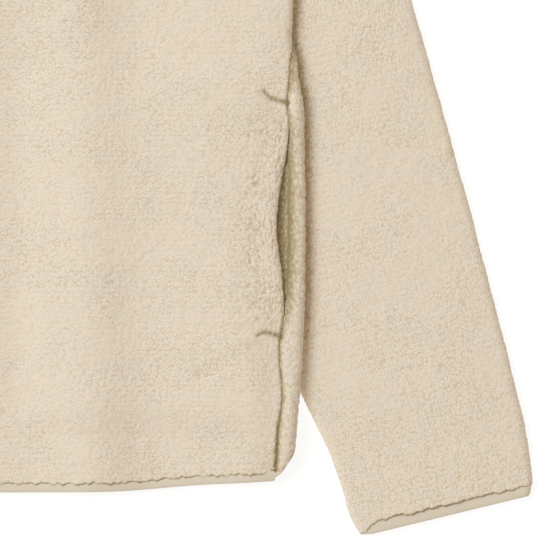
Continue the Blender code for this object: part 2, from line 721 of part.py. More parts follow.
def main():
    for item in list(bpy.data.objects):
        bpy.data.objects.remove(item)
    root = bpy.data.objects.new("jacket", None)
    root.location = (0, -ORIGIN_Y * MM, 0)
    bpy.context.collection.objects.link(root)

    fleece = new_material("cream_fleece", (0.76, 0.66, 0.52), 0.95)
    knit = new_material("beige_binding", (0.62, 0.55, 0.42), 0.8)
    woven = new_material("beige_tape", (0.62, 0.55, 0.43), 0.85)
    bag_cloth = new_material("beige_bag", (0.64, 0.57, 0.45), 0.9)
    plastic = new_material("beige_moulding", (0.55, 0.48, 0.36), 0.5)
    metal = new_material("brushed_metal", (0.55, 0.53, 0.5), 0.35, 1.0)

    cloth_piece("back", back_points(), CLOTH, fleece, root)
    front = front_points()
    cloth_piece("front_left", front, CLOTH, fleece, root)
    cloth_piece("front_right", mirrored(front), CLOTH, fleece, root)
    sleeve = sleeve_points()
    cloth_piece("sleeve_left", sleeve, 0, fleece, root, closed=True)
    cloth_piece("sleeve_right", mirrored(sleeve), 0, fleece, root, closed=True)
    cloth_piece("collar", collar_points(), CLOTH, fleece, root)
    cloth_piece("hem_binding", hem_points(), BINDING, knit, root)
    cuff = cuff_points()
    cloth_piece("cuff_binding_left", cuff, BINDING, knit, root, closed=True)
    cloth_piece("cuff_binding_right", mirrored(cuff), BINDING, knit, root, closed=True)
    bag = bag_points()
    cloth_piece("pocket_bag_left", bag, BAG, bag_cloth, root)
    cloth_piece("pocket_bag_right", mirrored(bag), BAG, bag_cloth, root)

    finish("zip_tape_left", zip_tape_box(1), woven, root)
    finish("zip_tape_right", zip_tape_box(-1), woven, root)
    half_chain = CHAIN_WIDTH / 2
    chain = box((-half_chain, BOX_TOP_Y + GAP, CHAIN_Z[0]), (half_chain, CHAIN_TOP_Y, CHAIN_Z[1]))
    finish("zip_chain", chain, plastic, root)
    half_box = BOX_WIDTH / 2
    retainer = box(
        (-half_box, BOX_LOW_Y, CLOTH + GAP), (half_box, BOX_TOP_Y - GAP, CHAIN_Z[1] + GAP)
    )
    bevel_all(retainer, BOX_BEVEL)
    finish("zip_box", retainer, plastic, root)
    slider(metal, root)
    pull(metal, root)


main()
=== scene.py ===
"""Sherpa fleece jacket, zipped up and laid flat on its back: its pile, bindings, pockets and zip.

Lengths are in millimetres from the hem at the centre front, +X to the wearer's left, +Y towards the
collar and +Z up, and become metres in the frame's place when a mesh is made.
"""

import math

import bmesh
import bpy
import numpy as np
from bpy.props import FloatProperty, FloatVectorProperty, PointerProperty
from mathutils import Matrix, Vector, noise


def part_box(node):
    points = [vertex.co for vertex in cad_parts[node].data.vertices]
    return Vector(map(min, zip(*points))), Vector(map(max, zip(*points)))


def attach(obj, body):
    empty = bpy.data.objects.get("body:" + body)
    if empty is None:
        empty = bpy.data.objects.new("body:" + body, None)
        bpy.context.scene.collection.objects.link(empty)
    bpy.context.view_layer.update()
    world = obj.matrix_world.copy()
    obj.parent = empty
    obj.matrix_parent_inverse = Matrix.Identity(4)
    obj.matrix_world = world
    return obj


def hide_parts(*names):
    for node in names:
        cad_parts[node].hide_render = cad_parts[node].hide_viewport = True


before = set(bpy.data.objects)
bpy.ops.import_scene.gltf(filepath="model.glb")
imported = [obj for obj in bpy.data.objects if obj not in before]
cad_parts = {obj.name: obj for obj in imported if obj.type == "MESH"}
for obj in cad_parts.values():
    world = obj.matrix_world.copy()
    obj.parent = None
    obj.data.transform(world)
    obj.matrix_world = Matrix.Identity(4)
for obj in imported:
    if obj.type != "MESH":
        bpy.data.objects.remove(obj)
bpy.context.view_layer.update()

bl_info = {
    "name": "Sherpa jacket",
    "version": (1, 0, 0),
    "blender": (4, 5, 0),
    "location": "3D View > Sidebar > Jacket",
    "description": "Pile fleece, bindings, pockets and zip of a jacket laid flat",
    "category": "Add Mesh",
}

MM = 0.001
BODY = "jacket"
PULL_BODY = "pull"

# Sizes of the frame's solids, which the cloth here follows
HALF = 2.5  # half the fleece's thickness
FOLD = 2.9  # radius of a flat fold, to the middle of the cloth
SEAM_GAP = 0.6
BINDING_WIDTH = 6.4
BINDING = 3.0
ORIGIN_Y = 332.95  # height of the frame's origin above the hem
ARMPIT_Y = 390.0
STACK = 2 * (FOLD + HALF) + 0.9  # by which the body's side is higher where it lies on the sleeve
BACK_RAMP = 38.0  # width over which the back, and the front, rise onto the sleeve
FRONT_RAMP = 130.0
LIFT_EARLY = 14.0
LIFT_PAST = 28.0  # the rise ends this far above the armpit, and fades over the next length
LIFT_FADE = 46.0
NECK_X = 91.0
NECK_Y = 645.0
NECK_FOOT_Y = 560.0
SHOULDER_X = 274.0
SHOULDER_Y = 593.0
SHOULDER_OUT = (0.27, 0.963)
SHOULDER_DROP = FOLD - 0.7
BACK_NECK_Y = 627.0
BACK_BEND_Y = 333.0  # above it the back's rows bend towards the neckline and the shoulders
COLLAR_OVER = 5.0  # the back of the collar reaches this far down inside the neckline
COLLAR_TOP_Y = 697.0  # top of the collar at the centre back
COLLAR_LEVEL_Y = 600.0  # above it the collar lies no higher on the front
FRONT_EDGE = 9.0
ZIP_RISE = 2.5
ZIP_RISE_X = (50.0, 30.0)  # the front rises onto the zip from the first, over the second
BAG = 1.0
BAG_RISE = 3.8
BAG_GAP = 1.0
BAG_FOLD = 0.8
BAG_INNER_X = 108.0
BAG_MOUTH_Y = (112.0, 268.0)
BAG_INNER_Y = (66.0, 262.0)
BAG_INSET = 2.0
BAG_RISE_X = (80.0, 26.0)  # the front rises onto the bag from the first, over the second
BAG_RISE_Y = (36.0, 24.0, 307.0, 24.0)
FACING_REACH = 9.0  # the pocket's fleece facing begins this far under the front
SIDE_BLEND = 34.0  # width over which the front comes down onto the side's roll
HEM_TUCK = 0.55
HEM_FADE = 90.0  # height over which the rows take up the hem's curve
ARMHOLE_FADE = 4.0  # stations over which the sleeve's rings straighten
ARMHOLE_GAP = 1.3
CUFF_DOWN = (4.2, -6.9)  # from the pile's end to the cuff binding's end, at the sleeve's two folds
CUFF_OUTER_DOWN = (-1.6, -7.3)
SLEEVE_CROWN = 1.8
ZIP_LOW_Y = 8.5
ZIP_TOP_Y = 628.0
TAPE_X = (3.3, 13.5)
TAPE_Z = 7.5
HINGE_Y = 614.6
HINGE_Z = 11.4
PLATE_TOP = 10.3  # top of the slider's upper plate

# The picture: its middle on the jacket, the height that its width is measured at, and its lamp
VIEW_X = 263.9
VIEW_Y = 151.9
FOCUS_Z = 20.0
KEY_PLACE = (-4.6, 1.9, 7.4)  # in metres, as are the next two
KEY_AIM = (0.2, -0.1, 0.0)
KEY_SIZE = 4.6

# The pile that covers the solids
SIDE_X = 200.0  # places further out than this belong to the body's side
SIDE_OVERLAP = 1.0  # by which the pile of the front and of the back close over their seam
SEAM_SINK = 1.8  # the cloth lies lower towards the side seam
MOUTH_Y = (106.0, 16.0, 272.0, 16.0)  # stretch in which the side seam is open
GAPE_Y = (108.0, 50.0, 270.0, 60.0)  # stretch over which it opens to its full width and closes
MOUTH_SINK = 3.2  # by which the back's edge is lower at the pocket's mouth
# The seams' darkening is painted shade.
SEAM_SHADE = 4.2  # the pile is darker this near to a seam
HEM_RIM = 1.2  # radius to which the pile rounds off over the binding
BINDING_UNDER = 1.2  # by which the hem's binding reaches up under the pile
CUFF_STEPS = (-0.15, 1.14)  # the cuff binding's two edges, as shares of CUFF_DOWN
FOLD_DOWN = (3.0, -7.4)  # direction in which the pile hangs over the cuff's inner fold
FLOOR = 0.15  # lowest the pile comes above the surface that the jacket lies on
# The rest of the pile's colour is the crevice colour, painted shade between the curls.
MEAN_LIT = 0.7  # how much of the pile's colour is that of its tips
CURL_SIZE = 1.9  # width of the small curls that the material draws
NET = 4  # a cloth's inner side has every fourth line of its outer side


class Table:
    """Rows under named columns, read as smooth curves over the first column."""

    def __init__(self, columns, *rows):
        self.names = columns.split()
        self.rows = np.array(rows, float)

    def at(self, key, name):
        x = self.rows[:, 0]
        y = self.rows[:, self.names.index(name)]
        slope = np.gradient(y, x)
        key = np.clip(key, x[0], x[-1])
        i = np.clip(np.searchsorted(x, key) - 1, 0, len(x) - 2)
        span = x[i + 1] - x[i]
        t = (key - x[i]) / span
        blend = t * t * (3 - 2 * t)
        bow = span * t * (1 - t) * (slope[i] * (1 - t) - slope[i + 1] * t)
        return y[i] * (1 - blend) + y[i + 1] * blend + bow


# Side of the body: outermost x, radius of the rolled edge, and how far down the roll from its top
# the front's and the back's edges lie (negative: short of the roll, on top of the body).
SIDE = Table(
    "y edge roll front back",
    (0, 275.0, 4.3, -5.2, -5.2),
    (20, 277.2, 4.3, -5.7, -5.7),
    (36, 278.6, 4.3, -6.2, -6.2),
    (64, 281.0, 4.3, -5.4, -5.4),
    (92, 283.2, 4.3, -9.4, -9.4),
    (108, 284.0, 4.3, -10.0, -9.8),
    (120, 284.6, 4.3, -8.5, -7.1),
    (150, 285.2, 4.3, -10.0, -5.9),
    (187, 285.0, 4.3, -13.7, -5.0),
    (218, 285.0, 4.3, -10.3, -5.0),
    (240, 284.7, 4.3, -6.0, -4.2),
    (257, 284.4, 4.3, -4.2, -3.2),
    (273, 283.6, 4.3, -4.5, -4.4),
    (288, 280.7, 4.3, -0.2, -0.2),
    (302, 279.3, 4.3, 1.7, 1.7),
    (317, 276.0, 4.0, 7.0, 7.0),
    (332, 276.5, 3.6, 6.4, 6.4),
    (360, 277.5, 3.2, 5.6, 5.6),
    (390, 279.0, 2.9, 5.0, 5.0),
)

# The body's height at its centre and at its side, and the share of the neckline climbed.
BODY_ROWS = Table(
    "centre side neck",
    (7, 15, 0),
    (30, 30, 0),
    (62, 60, 0),
    (110, 108, 0),
    (188, 185, 0),
    (250, 244, 0),
    (296, 288, 0),
    (333, 317, 0),
    (370, 345, 0),
    (405, 368, 0),
    (440, 390, 0),
    (480, 415, 0),
    (520, 450, 0),
    (560, 495, 0),
    (580, 530, 0.25),
    (600, 560, 0.5),
    (616, 580, 0.75),
    (627, 593, 1),
)

FRONT_NECK = Table(
    "share x y top_x top_y",
    (0, 9.0, 560.0, 9.0, 630.0),
    (0.25, 38.0, 565.0, 36.0, 634.0),
    (0.5, 64.0, 585.0, 60.0, 647.0),
    (0.75, 82.0, 614.0, 77.0, 668.0),
    (1, 91.0, 645.0, 87.0, 694.0),
)

ARMHOLE = Table(
    "y x",
    (390, 275.8),
    (403, 271.8),
    (420, 268.5),
    (465, 263.5),
    (530, 266.0),
    (593, 274.0),
)

HEM_FRONT = Table("x y", (0, -0.5), (110, -0.5), (155, 0.2), (211, 4.6), (246, 6.4), (266, 7.6))

# Hem of the back, along the cloth from the centre back, under the jacket and up round its side.
HEM_BACK = Table(
    "along y",
    (0, 2.0),
    (150, 4.0),
    (195, 10.0),
    (232, 24.0),
    (256, 35.0),
    (270, 39.0),
    (274, 37.0),
    (277.5, 29.0),
    (281, 21.3),
    (284.2, 13.8),
    (288, 10.3),
    (291, 7.8),
)

# Stations of the sleeve from the armhole to the cuff: its inner and its outer edge from above.
SLEEVE = Table(
    "station inner_x inner_y outer_x outer_y",
    (0, 280.0, 384.0, 275.0, 598.5),
    (1, 281.5, 382.0, 296.0, 583.0),
    (2, 281.0, 377.5, 309.0, 532.0),
    (3, 278.4, 371.0, 327.0, 460.0),
    (4, 275.4, 362.0, 344.6, 398.0),
    (5, 272.6, 349.0, 357.2, 354.5),
    (6, 268.5, 328.0, 368.2, 315.5),
    (7, 257.0, 300.0, 379.7, 275.0),
    (8, 242.0, 265.0, 391.2, 233.0),
    (9, 235.0, 222.0, 402.8, 191.0),
    (10, 243.0, 164.0, 415.2, 143.0),
    (11, 264.0, 108.0, 426.2, 101.0),
    (12, 284.5, 63.0, 433.7, 70.5),
    (13, 303.0, 24.0, 440.5, 41.0),
    (14, 319.0, -24.0, 445.4, 5.5),
)
LAST_STATION = SLEEVE.rows[-1, 0]
SLEEVE_INNER = Table("y x", *[(row[2], row[1]) for row in SLEEVE.rows[::-1]])

# Long soft folds of the front: place of the crest at the hem, its lean, half width, height and reach.
FOLDS = Table(
    "x lean width height low high",
    (52, 0.02, 24, 1.2, 60, 520),
    (137, -0.03, 28, 8.4, -40, 420),
    (243, 0.0, 30, 1.8, 40, 300),
    (196, 0.12, 22, 2.0, 330, 560),
)

# Creases pressed into the pile: from and to, half width and depth.
CREASES = Table(
    "x y to_x to_y width depth",
    (256.5, 280.5, 261.0, 275.6, 1.3, 2.6),
    (261.0, 275.6, 272.5, 272.4, 1.5, 3.6),
    (251.5, 109.6, 257.0, 111.6, 1.3, 2.6),
    (257.0, 111.6, 268.5, 108.6, 1.5, 3.4),
    (252.0, 103.0, 211.0, 82.0, 5.0, 0.7),
)


def smooth(t):
    t = np.clip(t, 0, 1)
    return t * t * (3 - 2 * t)


def between(place, low, low_fade, high, high_fade):
    """1 between low and high, and fading to 0 at them over the lengths that follow each."""
    return smooth((place - low) / low_fade) * smooth((high - place) / high_fade)


def at_side(points):
    return np.abs(points[..., 0]) > SIDE_X


def lift(x, y, ramp):
    """Rise of the body's side, which lies on the sleeve."""
    across = smooth((x - SLEEVE_INNER.at(y, "x") + ramp + LIFT_EARLY) / ramp)
    return STACK * across * smooth((ARMPIT_Y + LIFT_PAST - y) / LIFT_FADE)


def roll_start(y):
    return SIDE.at(y, "edge") - SIDE.at(y, "roll") - HALF


def back_height(x, y):
    return HALF + lift(x, y, BACK_RAMP)


def fold_relief(x, y):
    relief = np.zeros(np.broadcast(x, y).shape)
    for crest, lean, width, height, low, high in FOLDS.rows:
        reach = between(y, low, 60, high, 90)
        relief = relief + height * reach * np.exp(-(((x - crest - lean * y) / width) ** 2))
    return relief


def front_height(x, y):
    """Middle of the front's cloth: over the back, the zip tape, the pocket bag and the sleeve."""
    bag = BAG_RISE * smooth((x - BAG_RISE_X[0]) / BAG_RISE_X[1]) * between(y, *BAG_RISE_Y)
    zip_rise = ZIP_RISE * smooth((ZIP_RISE_X[0] - x) / ZIP_RISE_X[1])
    height = HALF + 2 * FOLD + lift(x, y, FRONT_RAMP) + zip_rise
    height = height + bag + fold_relief(x, y)
    start = roll_start(y)
    side_height = back_height(start, y) + 2 * SIDE.at(y, "roll")
    return height + (side_height - height) * smooth((x - start + SIDE_BLEND) / SIDE_BLEND)


def top_points(along, y):
    """Places on the front's sheet, and round its side where it rolls over the edge."""
    start = roll_start(y)
    roll = SIDE.at(y, "roll")
    turn = np.maximum(along - start, 0) / roll
    x = np.minimum(along, start) + roll * np.sin(turn)
    z = front_height(np.minimum(along, start), y) - roll * (1 - np.cos(turn))
    return np.stack([x, y, z], axis=-1)


def under_points(along, y):
    """Places on the back's sheet: underneath, up round the side and in again on top."""
    start = roll_start(y)
    roll = SIDE.at(y, "roll")
    turn = np.clip((along - start) / roll, 0, math.pi)
    over = np.maximum(along - start - math.pi * roll, 0)
    x = np.minimum(along, start) + roll * np.sin(turn) - over
    z = back_height(np.minimum(along, start), y) + roll * (1 - np.cos(turn))
    z = np.where(over > 0, front_height(start - over, y), z)
    return np.stack([x, y, z], axis=-1)


def body_edge(side_y, column):
    """Side edge of the front or the back, along the cloth: the side seam, then the armhole."""
    start = roll_start(side_y)
    if column == "front":
        seam = start + SIDE.at(side_y, "front") + SIDE_OVERLAP / 2
    else:
        seam = start + math.pi * SIDE.at(side_y, "roll") - SIDE.at(side_y, "back")
        seam = seam + SIDE_OVERLAP / 2
    return seam + (ARMHOLE.at(side_y, "x") - seam) * smooth((side_y - ARMPIT_Y + 4) / 4)


def row_heights(along, centre_y, side_y, hem):
    """Height of each place in a row, which follows the hem near it."""
    share = (along - along[0]) / (along[-1] - along[0])
    y = centre_y + (side_y - centre_y) * share
    above = centre_y - BODY_ROWS.rows[0, 0]
    fade = smooth(1 - above / HEM_FADE)
    return y * (1 - fade) + (hem + BINDING_WIDTH + SEAM_GAP + above) * fade


def graded(start, *stretches):
    """Places from start through stretches of (end, step), in a number that NET divides."""
    ends = [start]
    counts = [0.0]
    for end, step in stretches:
        counts.append(counts[-1] + abs(end - ends[-1]) / step)
        ends.append(end)
    parts = max(1, round(counts[-1] / NET)) * NET
    return np.interp(np.linspace(0, counts[-1], parts + 1), counts, ends)


def along_line(points):
    """Length along a line of points, at each of them."""
    return np.append(0, np.cumsum(np.linalg.norm(np.diff(points, axis=0), axis=1)))


def normals_of(points):
    """Direction square to a grid's surface at each of its places."""
    across = np.gradient(points, axis=1)
    up = np.gradient(points, axis=0)
    square = np.cross(across, up)
    return square / np.maximum(np.linalg.norm(square, axis=2, keepdims=True), 1e-9)


def along_rows(points):
    """How far each place is above the grid's first row, along the cloth."""
    up = np.linalg.norm(np.diff(points, axis=0), axis=2)
    return np.pad(np.cumsum(up, axis=0), ((1, 0), (0, 0)))


def along_columns(points):
    """How far each place is from the grid's first column, along the cloth."""
    across = np.linalg.norm(np.diff(points, axis=1), axis=2)
    return np.pad(np.cumsum(across, axis=1), ((0, 0), (1, 0)))


def edge_distance(points):
    """How far each place is from the nearest edge, along the cloth."""
    low = along_rows(points)
    left = along_columns(points)
    nearest = np.minimum(low, low[-1:] - low)
    return np.minimum(nearest, np.minimum(left, left[:, -1:] - left))


def rim(distance, radius):
    """Share of the full thickness, which rounds down to nearly none at the cloth's edge."""
    inward = np.clip(1 - distance / radius, 0, 1)
    return np.maximum(np.sqrt(1 - inward**2), 0.1)


def soft_noise(points, size):
    """Smooth noise from -1 to 1 over points, with waves of about that size."""
    values = [noise.noise(place) for place in (points.reshape(-1, 3) / size).tolist()]
    return np.array(values).reshape(points.shape[:-1])


def curls(points, size):
    """Pile curls: 1 on the top of each one and 0 in the crevices between them."""
    cells = [noise.voronoi(place)[0][:2] for place in (points.reshape(-1, 3) / size).tolist()]
    near, second = np.array(cells).T
    dome = np.sqrt(np.clip(1 - (near / 0.9) ** 2, 0, 1))
    parted = smooth((second - near) / 0.3)
    return ((0.35 + 0.65 * dome) * (0.4 + 0.6 * parted)).reshape(points.shape[:-1])


def pile(points, size, depth):
    """Height of the pile, and at each place how near it lies to the top of one of its curls."""
    drift = np.stack([soft_noise(points + shift, 11.0) for shift in (0.0, 57.0, 113.0)], axis=-1)
    wandering = points + 2.2 * drift
    curl_and_shade = curls(wandering, np.array(size))
    clump = soft_noise(points, 8.5)
    swell = soft_noise(points, 30.0)
    return depth * (curl_and_shade - 0.7) + 0.3 * clump + 0.35 * swell, curl_and_shade


def pocket_mouth(middle):
    """1 where the side seam is open at a pocket, and 0 elsewhere."""
    return between(middle[..., 1], *MOUTH_Y) * at_side(middle)


def gape(middle):
    """Share of its full width to which the pocket's mouth stands open."""
    return between(middle[..., 1], *GAPE_Y) * at_side(middle)


def hem_lift(middle):
    """Added to an edge's distance along the hem, where the pile stands steeply over the binding."""
    return 3 * HALF * smooth(1 - along_rows(middle) / (1.5 * HALF))


def crease_depth(points):
    """Depth of the creases pressed into the pile at each place."""
    depth = np.zeros(points.shape[:-1])
    for x, y, to_x, to_y, width, deep in CREASES.rows:
        start = np.array([x, y])
        run = np.array([to_x, to_y]) - start
        away = np.abs(points[..., :2]) - start
        share = np.clip((away @ run) / (run @ run), 0, 1)
        distance = np.linalg.norm(away - share[..., None] * run, axis=-1)
        depth = np.maximum(depth, deep * np.exp(-((distance / width) ** 2)))
    return depth


def grid_into(cloth, points, layer=None, values=None):
    """Adds a grid with its corners at the points. Its corners are returned row by row."""
    last_row, last_column = np.array(points.shape[:2]) - 1
    made = bmesh.ops.create_grid(cloth, x_segments=last_column, y_segments=last_row, size=1)
    place = points.copy()
    place[..., 1] -= ORIGIN_Y
    place = (place * MM).tolist()
    for corner in made["verts"]:
        column = round((corner.co.x + 1) / 2 * last_column)
        row = round((corner.co.y + 1) / 2 * last_row)
        corner.co = place[row][column]
        if layer is not None:
            corner[layer] = values[row, column]
    return made["verts"]


def open_edges(corners):
    return {edge for corner in corners for edge in corner.link_edges if edge.is_boundary}


def merge_seam(cloth, corners):
    """Closes a grid whose first and last lines lie on each other."""
    ends = {corner for edge in open_edges(corners) for corner in edge.verts}
    bmesh.ops.remove_doubles(cloth, verts=list(ends), dist=0.002 * MM)


def closed_cloth(name, outside, inside, curl_and_shade, tube=False):
    """A cloth with a fine outer side and a plain inner side, joined all along its edges."""
    cloth = bmesh.new()
    # The attribute holds each place's curls less the painted shade from seams, creases, the pocket
    # and the body's shadow, for the material's colour.
    layer = cloth.verts.layers.float.new("curl_and_shade")
    fine = grid_into(cloth, outside, layer, curl_and_shade)
    if tube:
        merge_seam(cloth, fine)
    fine_edges = [edge for edge in cloth.edges if edge.is_boundary]
    coarse = grid_into(cloth, inside, layer, curl_and_shade[::NET, ::NET])
    if tube:
        merge_seam(cloth, coarse)
    known = set(fine_edges)
    coarse_edges = [edge for edge in cloth.edges if edge.is_boundary and edge not in known]
    if tube:
        level = (outside[0, :, 1].min() + outside[-1, :, 1].max()) / 2 - ORIGIN_Y
        for above in (True, False):
            ring = [
                edge
                for edge in fine_edges + coarse_edges
                if (edge.verts[0].co.y > level * MM) == above
            ]
            bmesh.ops.bridge_loops(cloth, edges=ring)
    else:
        bmesh.ops.bridge_loops(cloth, edges=fine_edges + coarse_edges)
    bmesh.ops.recalc_face_normals(cloth, faces=cloth.faces)
    return finished(name, cloth)


def finished(name, shape):
    mesh = bpy.data.meshes.new(name)
    shape.to_mesh(mesh)
    shape.free()
    mesh.shade_smooth()
    piece = bpy.data.objects.new(name, mesh)
    bpy.context.scene.collection.objects.link(piece)
    return piece


def thin_cloth(name, points, thickness):
    """A sheet of even thickness, whose middle is at the points."""
    shape = bmesh.new()
    grid_into(shape, points)
    piece = finished(name, shape)
    wall = piece.modifiers.new("Wall", "SOLIDIFY")
    wall.thickness = thickness * MM
    wall.offset = 0
    return piece


def dress(piece, material, slot, *nodes, body=BODY):
    """Gives a piece its material and the body that it rides on, and hides the solids that it stands
    for.
    """
    piece.data.materials.append(material)
    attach(piece, body)
    if nodes:
        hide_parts(*nodes)


def mirrored(points):
    return points[:, ::-1] * (-1, 1, 1)


def fleece_sheet(name, middle, side, curl_size, depth, extra=None):
    """A sheet of fleece on its middle surface: pile on the side that its normals face."""
    square = normals_of(middle) * side
    distance = edge_distance(middle)
    full = np.minimum(rim(distance + hem_lift(middle), HALF), rim(along_rows(middle), HEM_RIM))
    mouth = pocket_mouth(middle)
    # Painted shade: darker into the seams, more so near the hem at the side, and in the pressed
    # creases.
    seam = np.clip(1 - (distance + hem_lift(middle)) / SEAM_SHADE, 0, 1) ** 1.4 * (1 - mouth)
    height, curl_and_shade = pile(middle, curl_size, depth)
    pressed = crease_depth(middle)
    rise = HALF * full + (height - pressed) * (0.35 + 0.65 * full)
    outside = middle + square * rise[..., None]
    near_hem = smooth((60 - middle[..., 1]) / 40) * at_side(middle)
    shade = 0.45 * pressed + (1.35 + 0.7 * near_hem) * seam
    if extra is not None:
        shift, deep = extra(middle, distance)
        outside = outside + shift
        shade = shade + deep
    outside[..., 2] = np.maximum(outside[..., 2], FLOOR)
    inside = (middle - square * (HALF * full)[..., None])[::NET, ::NET]
    inside[..., 2] = np.maximum(inside[..., 2], FLOOR)
    return closed_cloth(name, outside, inside, curl_and_shade - shade)


def front_middle(heights, shares, turns):
    """Middle surface of the left front: rows up to the shoulder, then the roll over it."""
    rows = []
    for height in heights:
        side_y = BODY_ROWS.at(height, "side")
        neck = np.clip(BODY_ROWS.at(height, "neck"), 0, 1)
        first = FRONT_EDGE if height < NECK_FOOT_Y else FRONT_NECK.at(neck, "x")
        along = first + (body_edge(side_y, "front") - first) * shares
        left_y = height if height < NECK_FOOT_Y else FRONT_NECK.at(neck, "y")
        y = row_heights(along, left_y, side_y, HEM_FRONT.at(along, "y"))
        rows.append(top_points(along, y))
    crest = rows[-1]
    for turn in turns:
        out = FOLD * math.sin(turn)
        drop = SHOULDER_DROP * (1 - math.cos(turn))
        rows.append(crest + (SHOULDER_OUT[0] * out, SHOULDER_OUT[1] * out, -drop))
    return np.array(rows)


def back_middle(heights, shares, turns):
    """Middle surface of the back: from the right side seam under the jacket to the left one."""
    rows = []
    for height in heights:
        side_y = BODY_ROWS.at(height, "side")
        last = body_edge(side_y, "back")
        begin = np.minimum(roll_start(side_y), last - 6)
        along = np.interp(shares, (0, 1, 2), (0, begin, last))
        hem = HEM_BACK.at(along, "y") - 5.6 * smooth((along - 258) / 12)
        y = row_heights(along, height, side_y, hem)
        shoulder = NECK_Y + (SHOULDER_Y - NECK_Y) * (along - NECK_X) / (SHOULDER_X - NECK_X)
        neckline = BACK_NECK_Y + (NECK_Y - BACK_NECK_Y) * (along / NECK_X) ** 2
        top = np.where(along < NECK_X, neckline, shoulder)
        level = BACK_NECK_Y + (SHOULDER_Y - BACK_NECK_Y) * along / along[-1]
        y = y + (top - level) * smooth((height - BACK_BEND_Y) / (BACK_NECK_Y - BACK_BEND_Y)) ** 2
        rows.append(under_points(along, y))
    crest = rows[-1]
    at_shoulder = smooth((crest[:, 0] - NECK_X + 12) / 12)
    for turn in turns:
        out = FOLD * math.sin(turn)
        step = np.stack(
            [
                SHOULDER_OUT[0] * out * at_shoulder,
                np.full(len(crest), SHOULDER_OUT[1] * out),
                SHOULDER_DROP * (1 - math.cos(turn)) * at_shoulder,
            ],
            axis=-1,
        )
        rows.append(crest + step)
    half = np.array(rows)
    return np.concatenate([mirrored(half)[:, :-1], half], axis=1)


def fold_to_fold(inner, outer, share):
    """Places between a flat tube's two folds, and the direction across it."""
    width = np.hypot(*(outer - inner))
    across = (outer - inner) / width
    begin = FOLD + HALF
    return inner + np.outer(begin + (width - 2 * begin) * share, across), across


def flat_ring(line, across, turns, radius, crown=0.0):
    """A flat tube's ring: its underside, its outer fold, its top and its inner fold."""
    out = radius * np.sin(turns)
    up = radius * (1 - np.cos(turns))
    low_z = FOLD + HALF - radius
    outer_turn = np.column_stack([line[-1] + np.outer(out, across), low_z + up])
    inner_turn = np.column_stack([line[0] - np.outer(out[::-1], across), low_z + up[::-1]])
    under = np.column_stack([line, np.full(len(line), low_z)])
    top = np.column_stack([line, np.full(len(line), low_z + 2 * radius) + crown])[::-1]
    return np.concatenate([under, outer_turn, top, inner_turn, under[:1]])


def sleeve_ring(station, share, turns, radius):
    """One ring of the sleeve. The first ones bend to follow the armhole."""
    ends = np.array([SLEEVE.at(station, name) for name in SLEEVE.names[1:]])
    line, across = fold_to_fold(ends[:2], ends[2:], share)
    straight, _ = fold_to_fold(SLEEVE.rows[0, 1:3], SLEEVE.rows[0, 3:], share)
    armhole_y = ARMPIT_Y + (SHOULDER_Y - ARMPIT_Y) * share
    clear = 1.5 * smooth((ARMPIT_Y + 22 - armhole_y) / 22)
    armhole = np.column_stack([ARMHOLE.at(armhole_y, "x") + ARMHOLE_GAP + clear, armhole_y])
    line = line + (armhole - straight) * smooth(1 - station / ARMHOLE_FADE)
    crown = SLEEVE_CROWN * smooth((line[:, 0] - 283) / 40) * np.sin(math.pi * share) ** 0.7
    return flat_ring(line, across, turns, radius, crown * smooth(station / ARMHOLE_FADE))


def collar_middle(shares, heights, turns, back_shares):
    """Middle surface of the stand collar: its front half, its folded side and its back half."""
    rows = []
    for step in heights:
        x, y, top_x, top_y = [FRONT_NECK.at(shares, name) for name in FRONT_NECK.names[1:]]
        x = x + (top_x - x) * step
        y = y + (top_y - y) * step + SEAM_GAP * (1 - step)
        near_side = smooth((shares - 0.75) / 0.25) * (1 - step)
        x = x - 1.0 * near_side
        y = y + 1.5 * near_side
        z = front_height(x, np.minimum(y, COLLAR_LEVEL_Y))
        on_top = np.column_stack([x, y, z])
        side_x = x[-1] + FOLD * np.sin(turns)
        side_z = z[-1] + FOLD * (np.cos(turns) - 1)
        side = np.column_stack([side_x, np.full(len(turns), y[-1]), side_z])
        curve = back_shares**2
        base = BACK_NECK_Y - COLLAR_OVER + (y[-1] - BACK_NECK_Y) * curve
        crest = COLLAR_TOP_Y + (y[-1] - COLLAR_TOP_Y) * curve
        under_y = base + (crest - base) * step
        under_y[0] = y[-1]
        beneath = np.column_stack([back_shares * x[-1], under_y, np.full(len(curve), HALF)])
        half = np.concatenate([on_top, side, beneath])
        rows.append(np.concatenate([half, half[-2::-1] * (-1, 1, 1)]))
    return np.array(rows)


def closed_tube(points, capped):
    """A tube from a grid whose first and last lines meet, with its open ends filled if capped."""
    shape = bmesh.new()
    merge_seam(shape, grid_into(shape, points))
    if capped:
        bmesh.ops.holes_fill(shape, edges=[e for e in shape.edges if e.is_boundary], sides=0)
    bmesh.ops.recalc_face_normals(shape, faces=shape.faces)
    return shape


def band(name, low_edge, high_edge, square, closed):
    """A binding: a rounded band between its two edges, along a line of places."""
    angles = np.linspace(0, 2 * math.pi, 17)[:, None]
    flat = np.sign(np.cos(angles)) * np.abs(np.cos(angles)) ** 0.75
    bulge = np.sign(np.sin(angles)) * np.abs(np.sin(angles)) ** 0.8
    middle = (low_edge + high_edge) / 2
    reach = (high_edge - low_edge) / 2
    thick = bulge * (1 + 0.06 * soft_noise(middle, 9.0)) * BINDING / 2
    points = middle + reach * flat[..., None] + square * thick[..., None]
    return finished(name, closed_tube(points, capped=not closed))


def line_normals(low_edge, high_edge):
    """Direction square to a band, from its two edges."""
    points = np.stack([low_edge, high_edge])
    square = np.cross(np.gradient(points, axis=1)[0], high_edge - low_edge)
    return square / np.linalg.norm(square, axis=1, keepdims=True)


# Materials


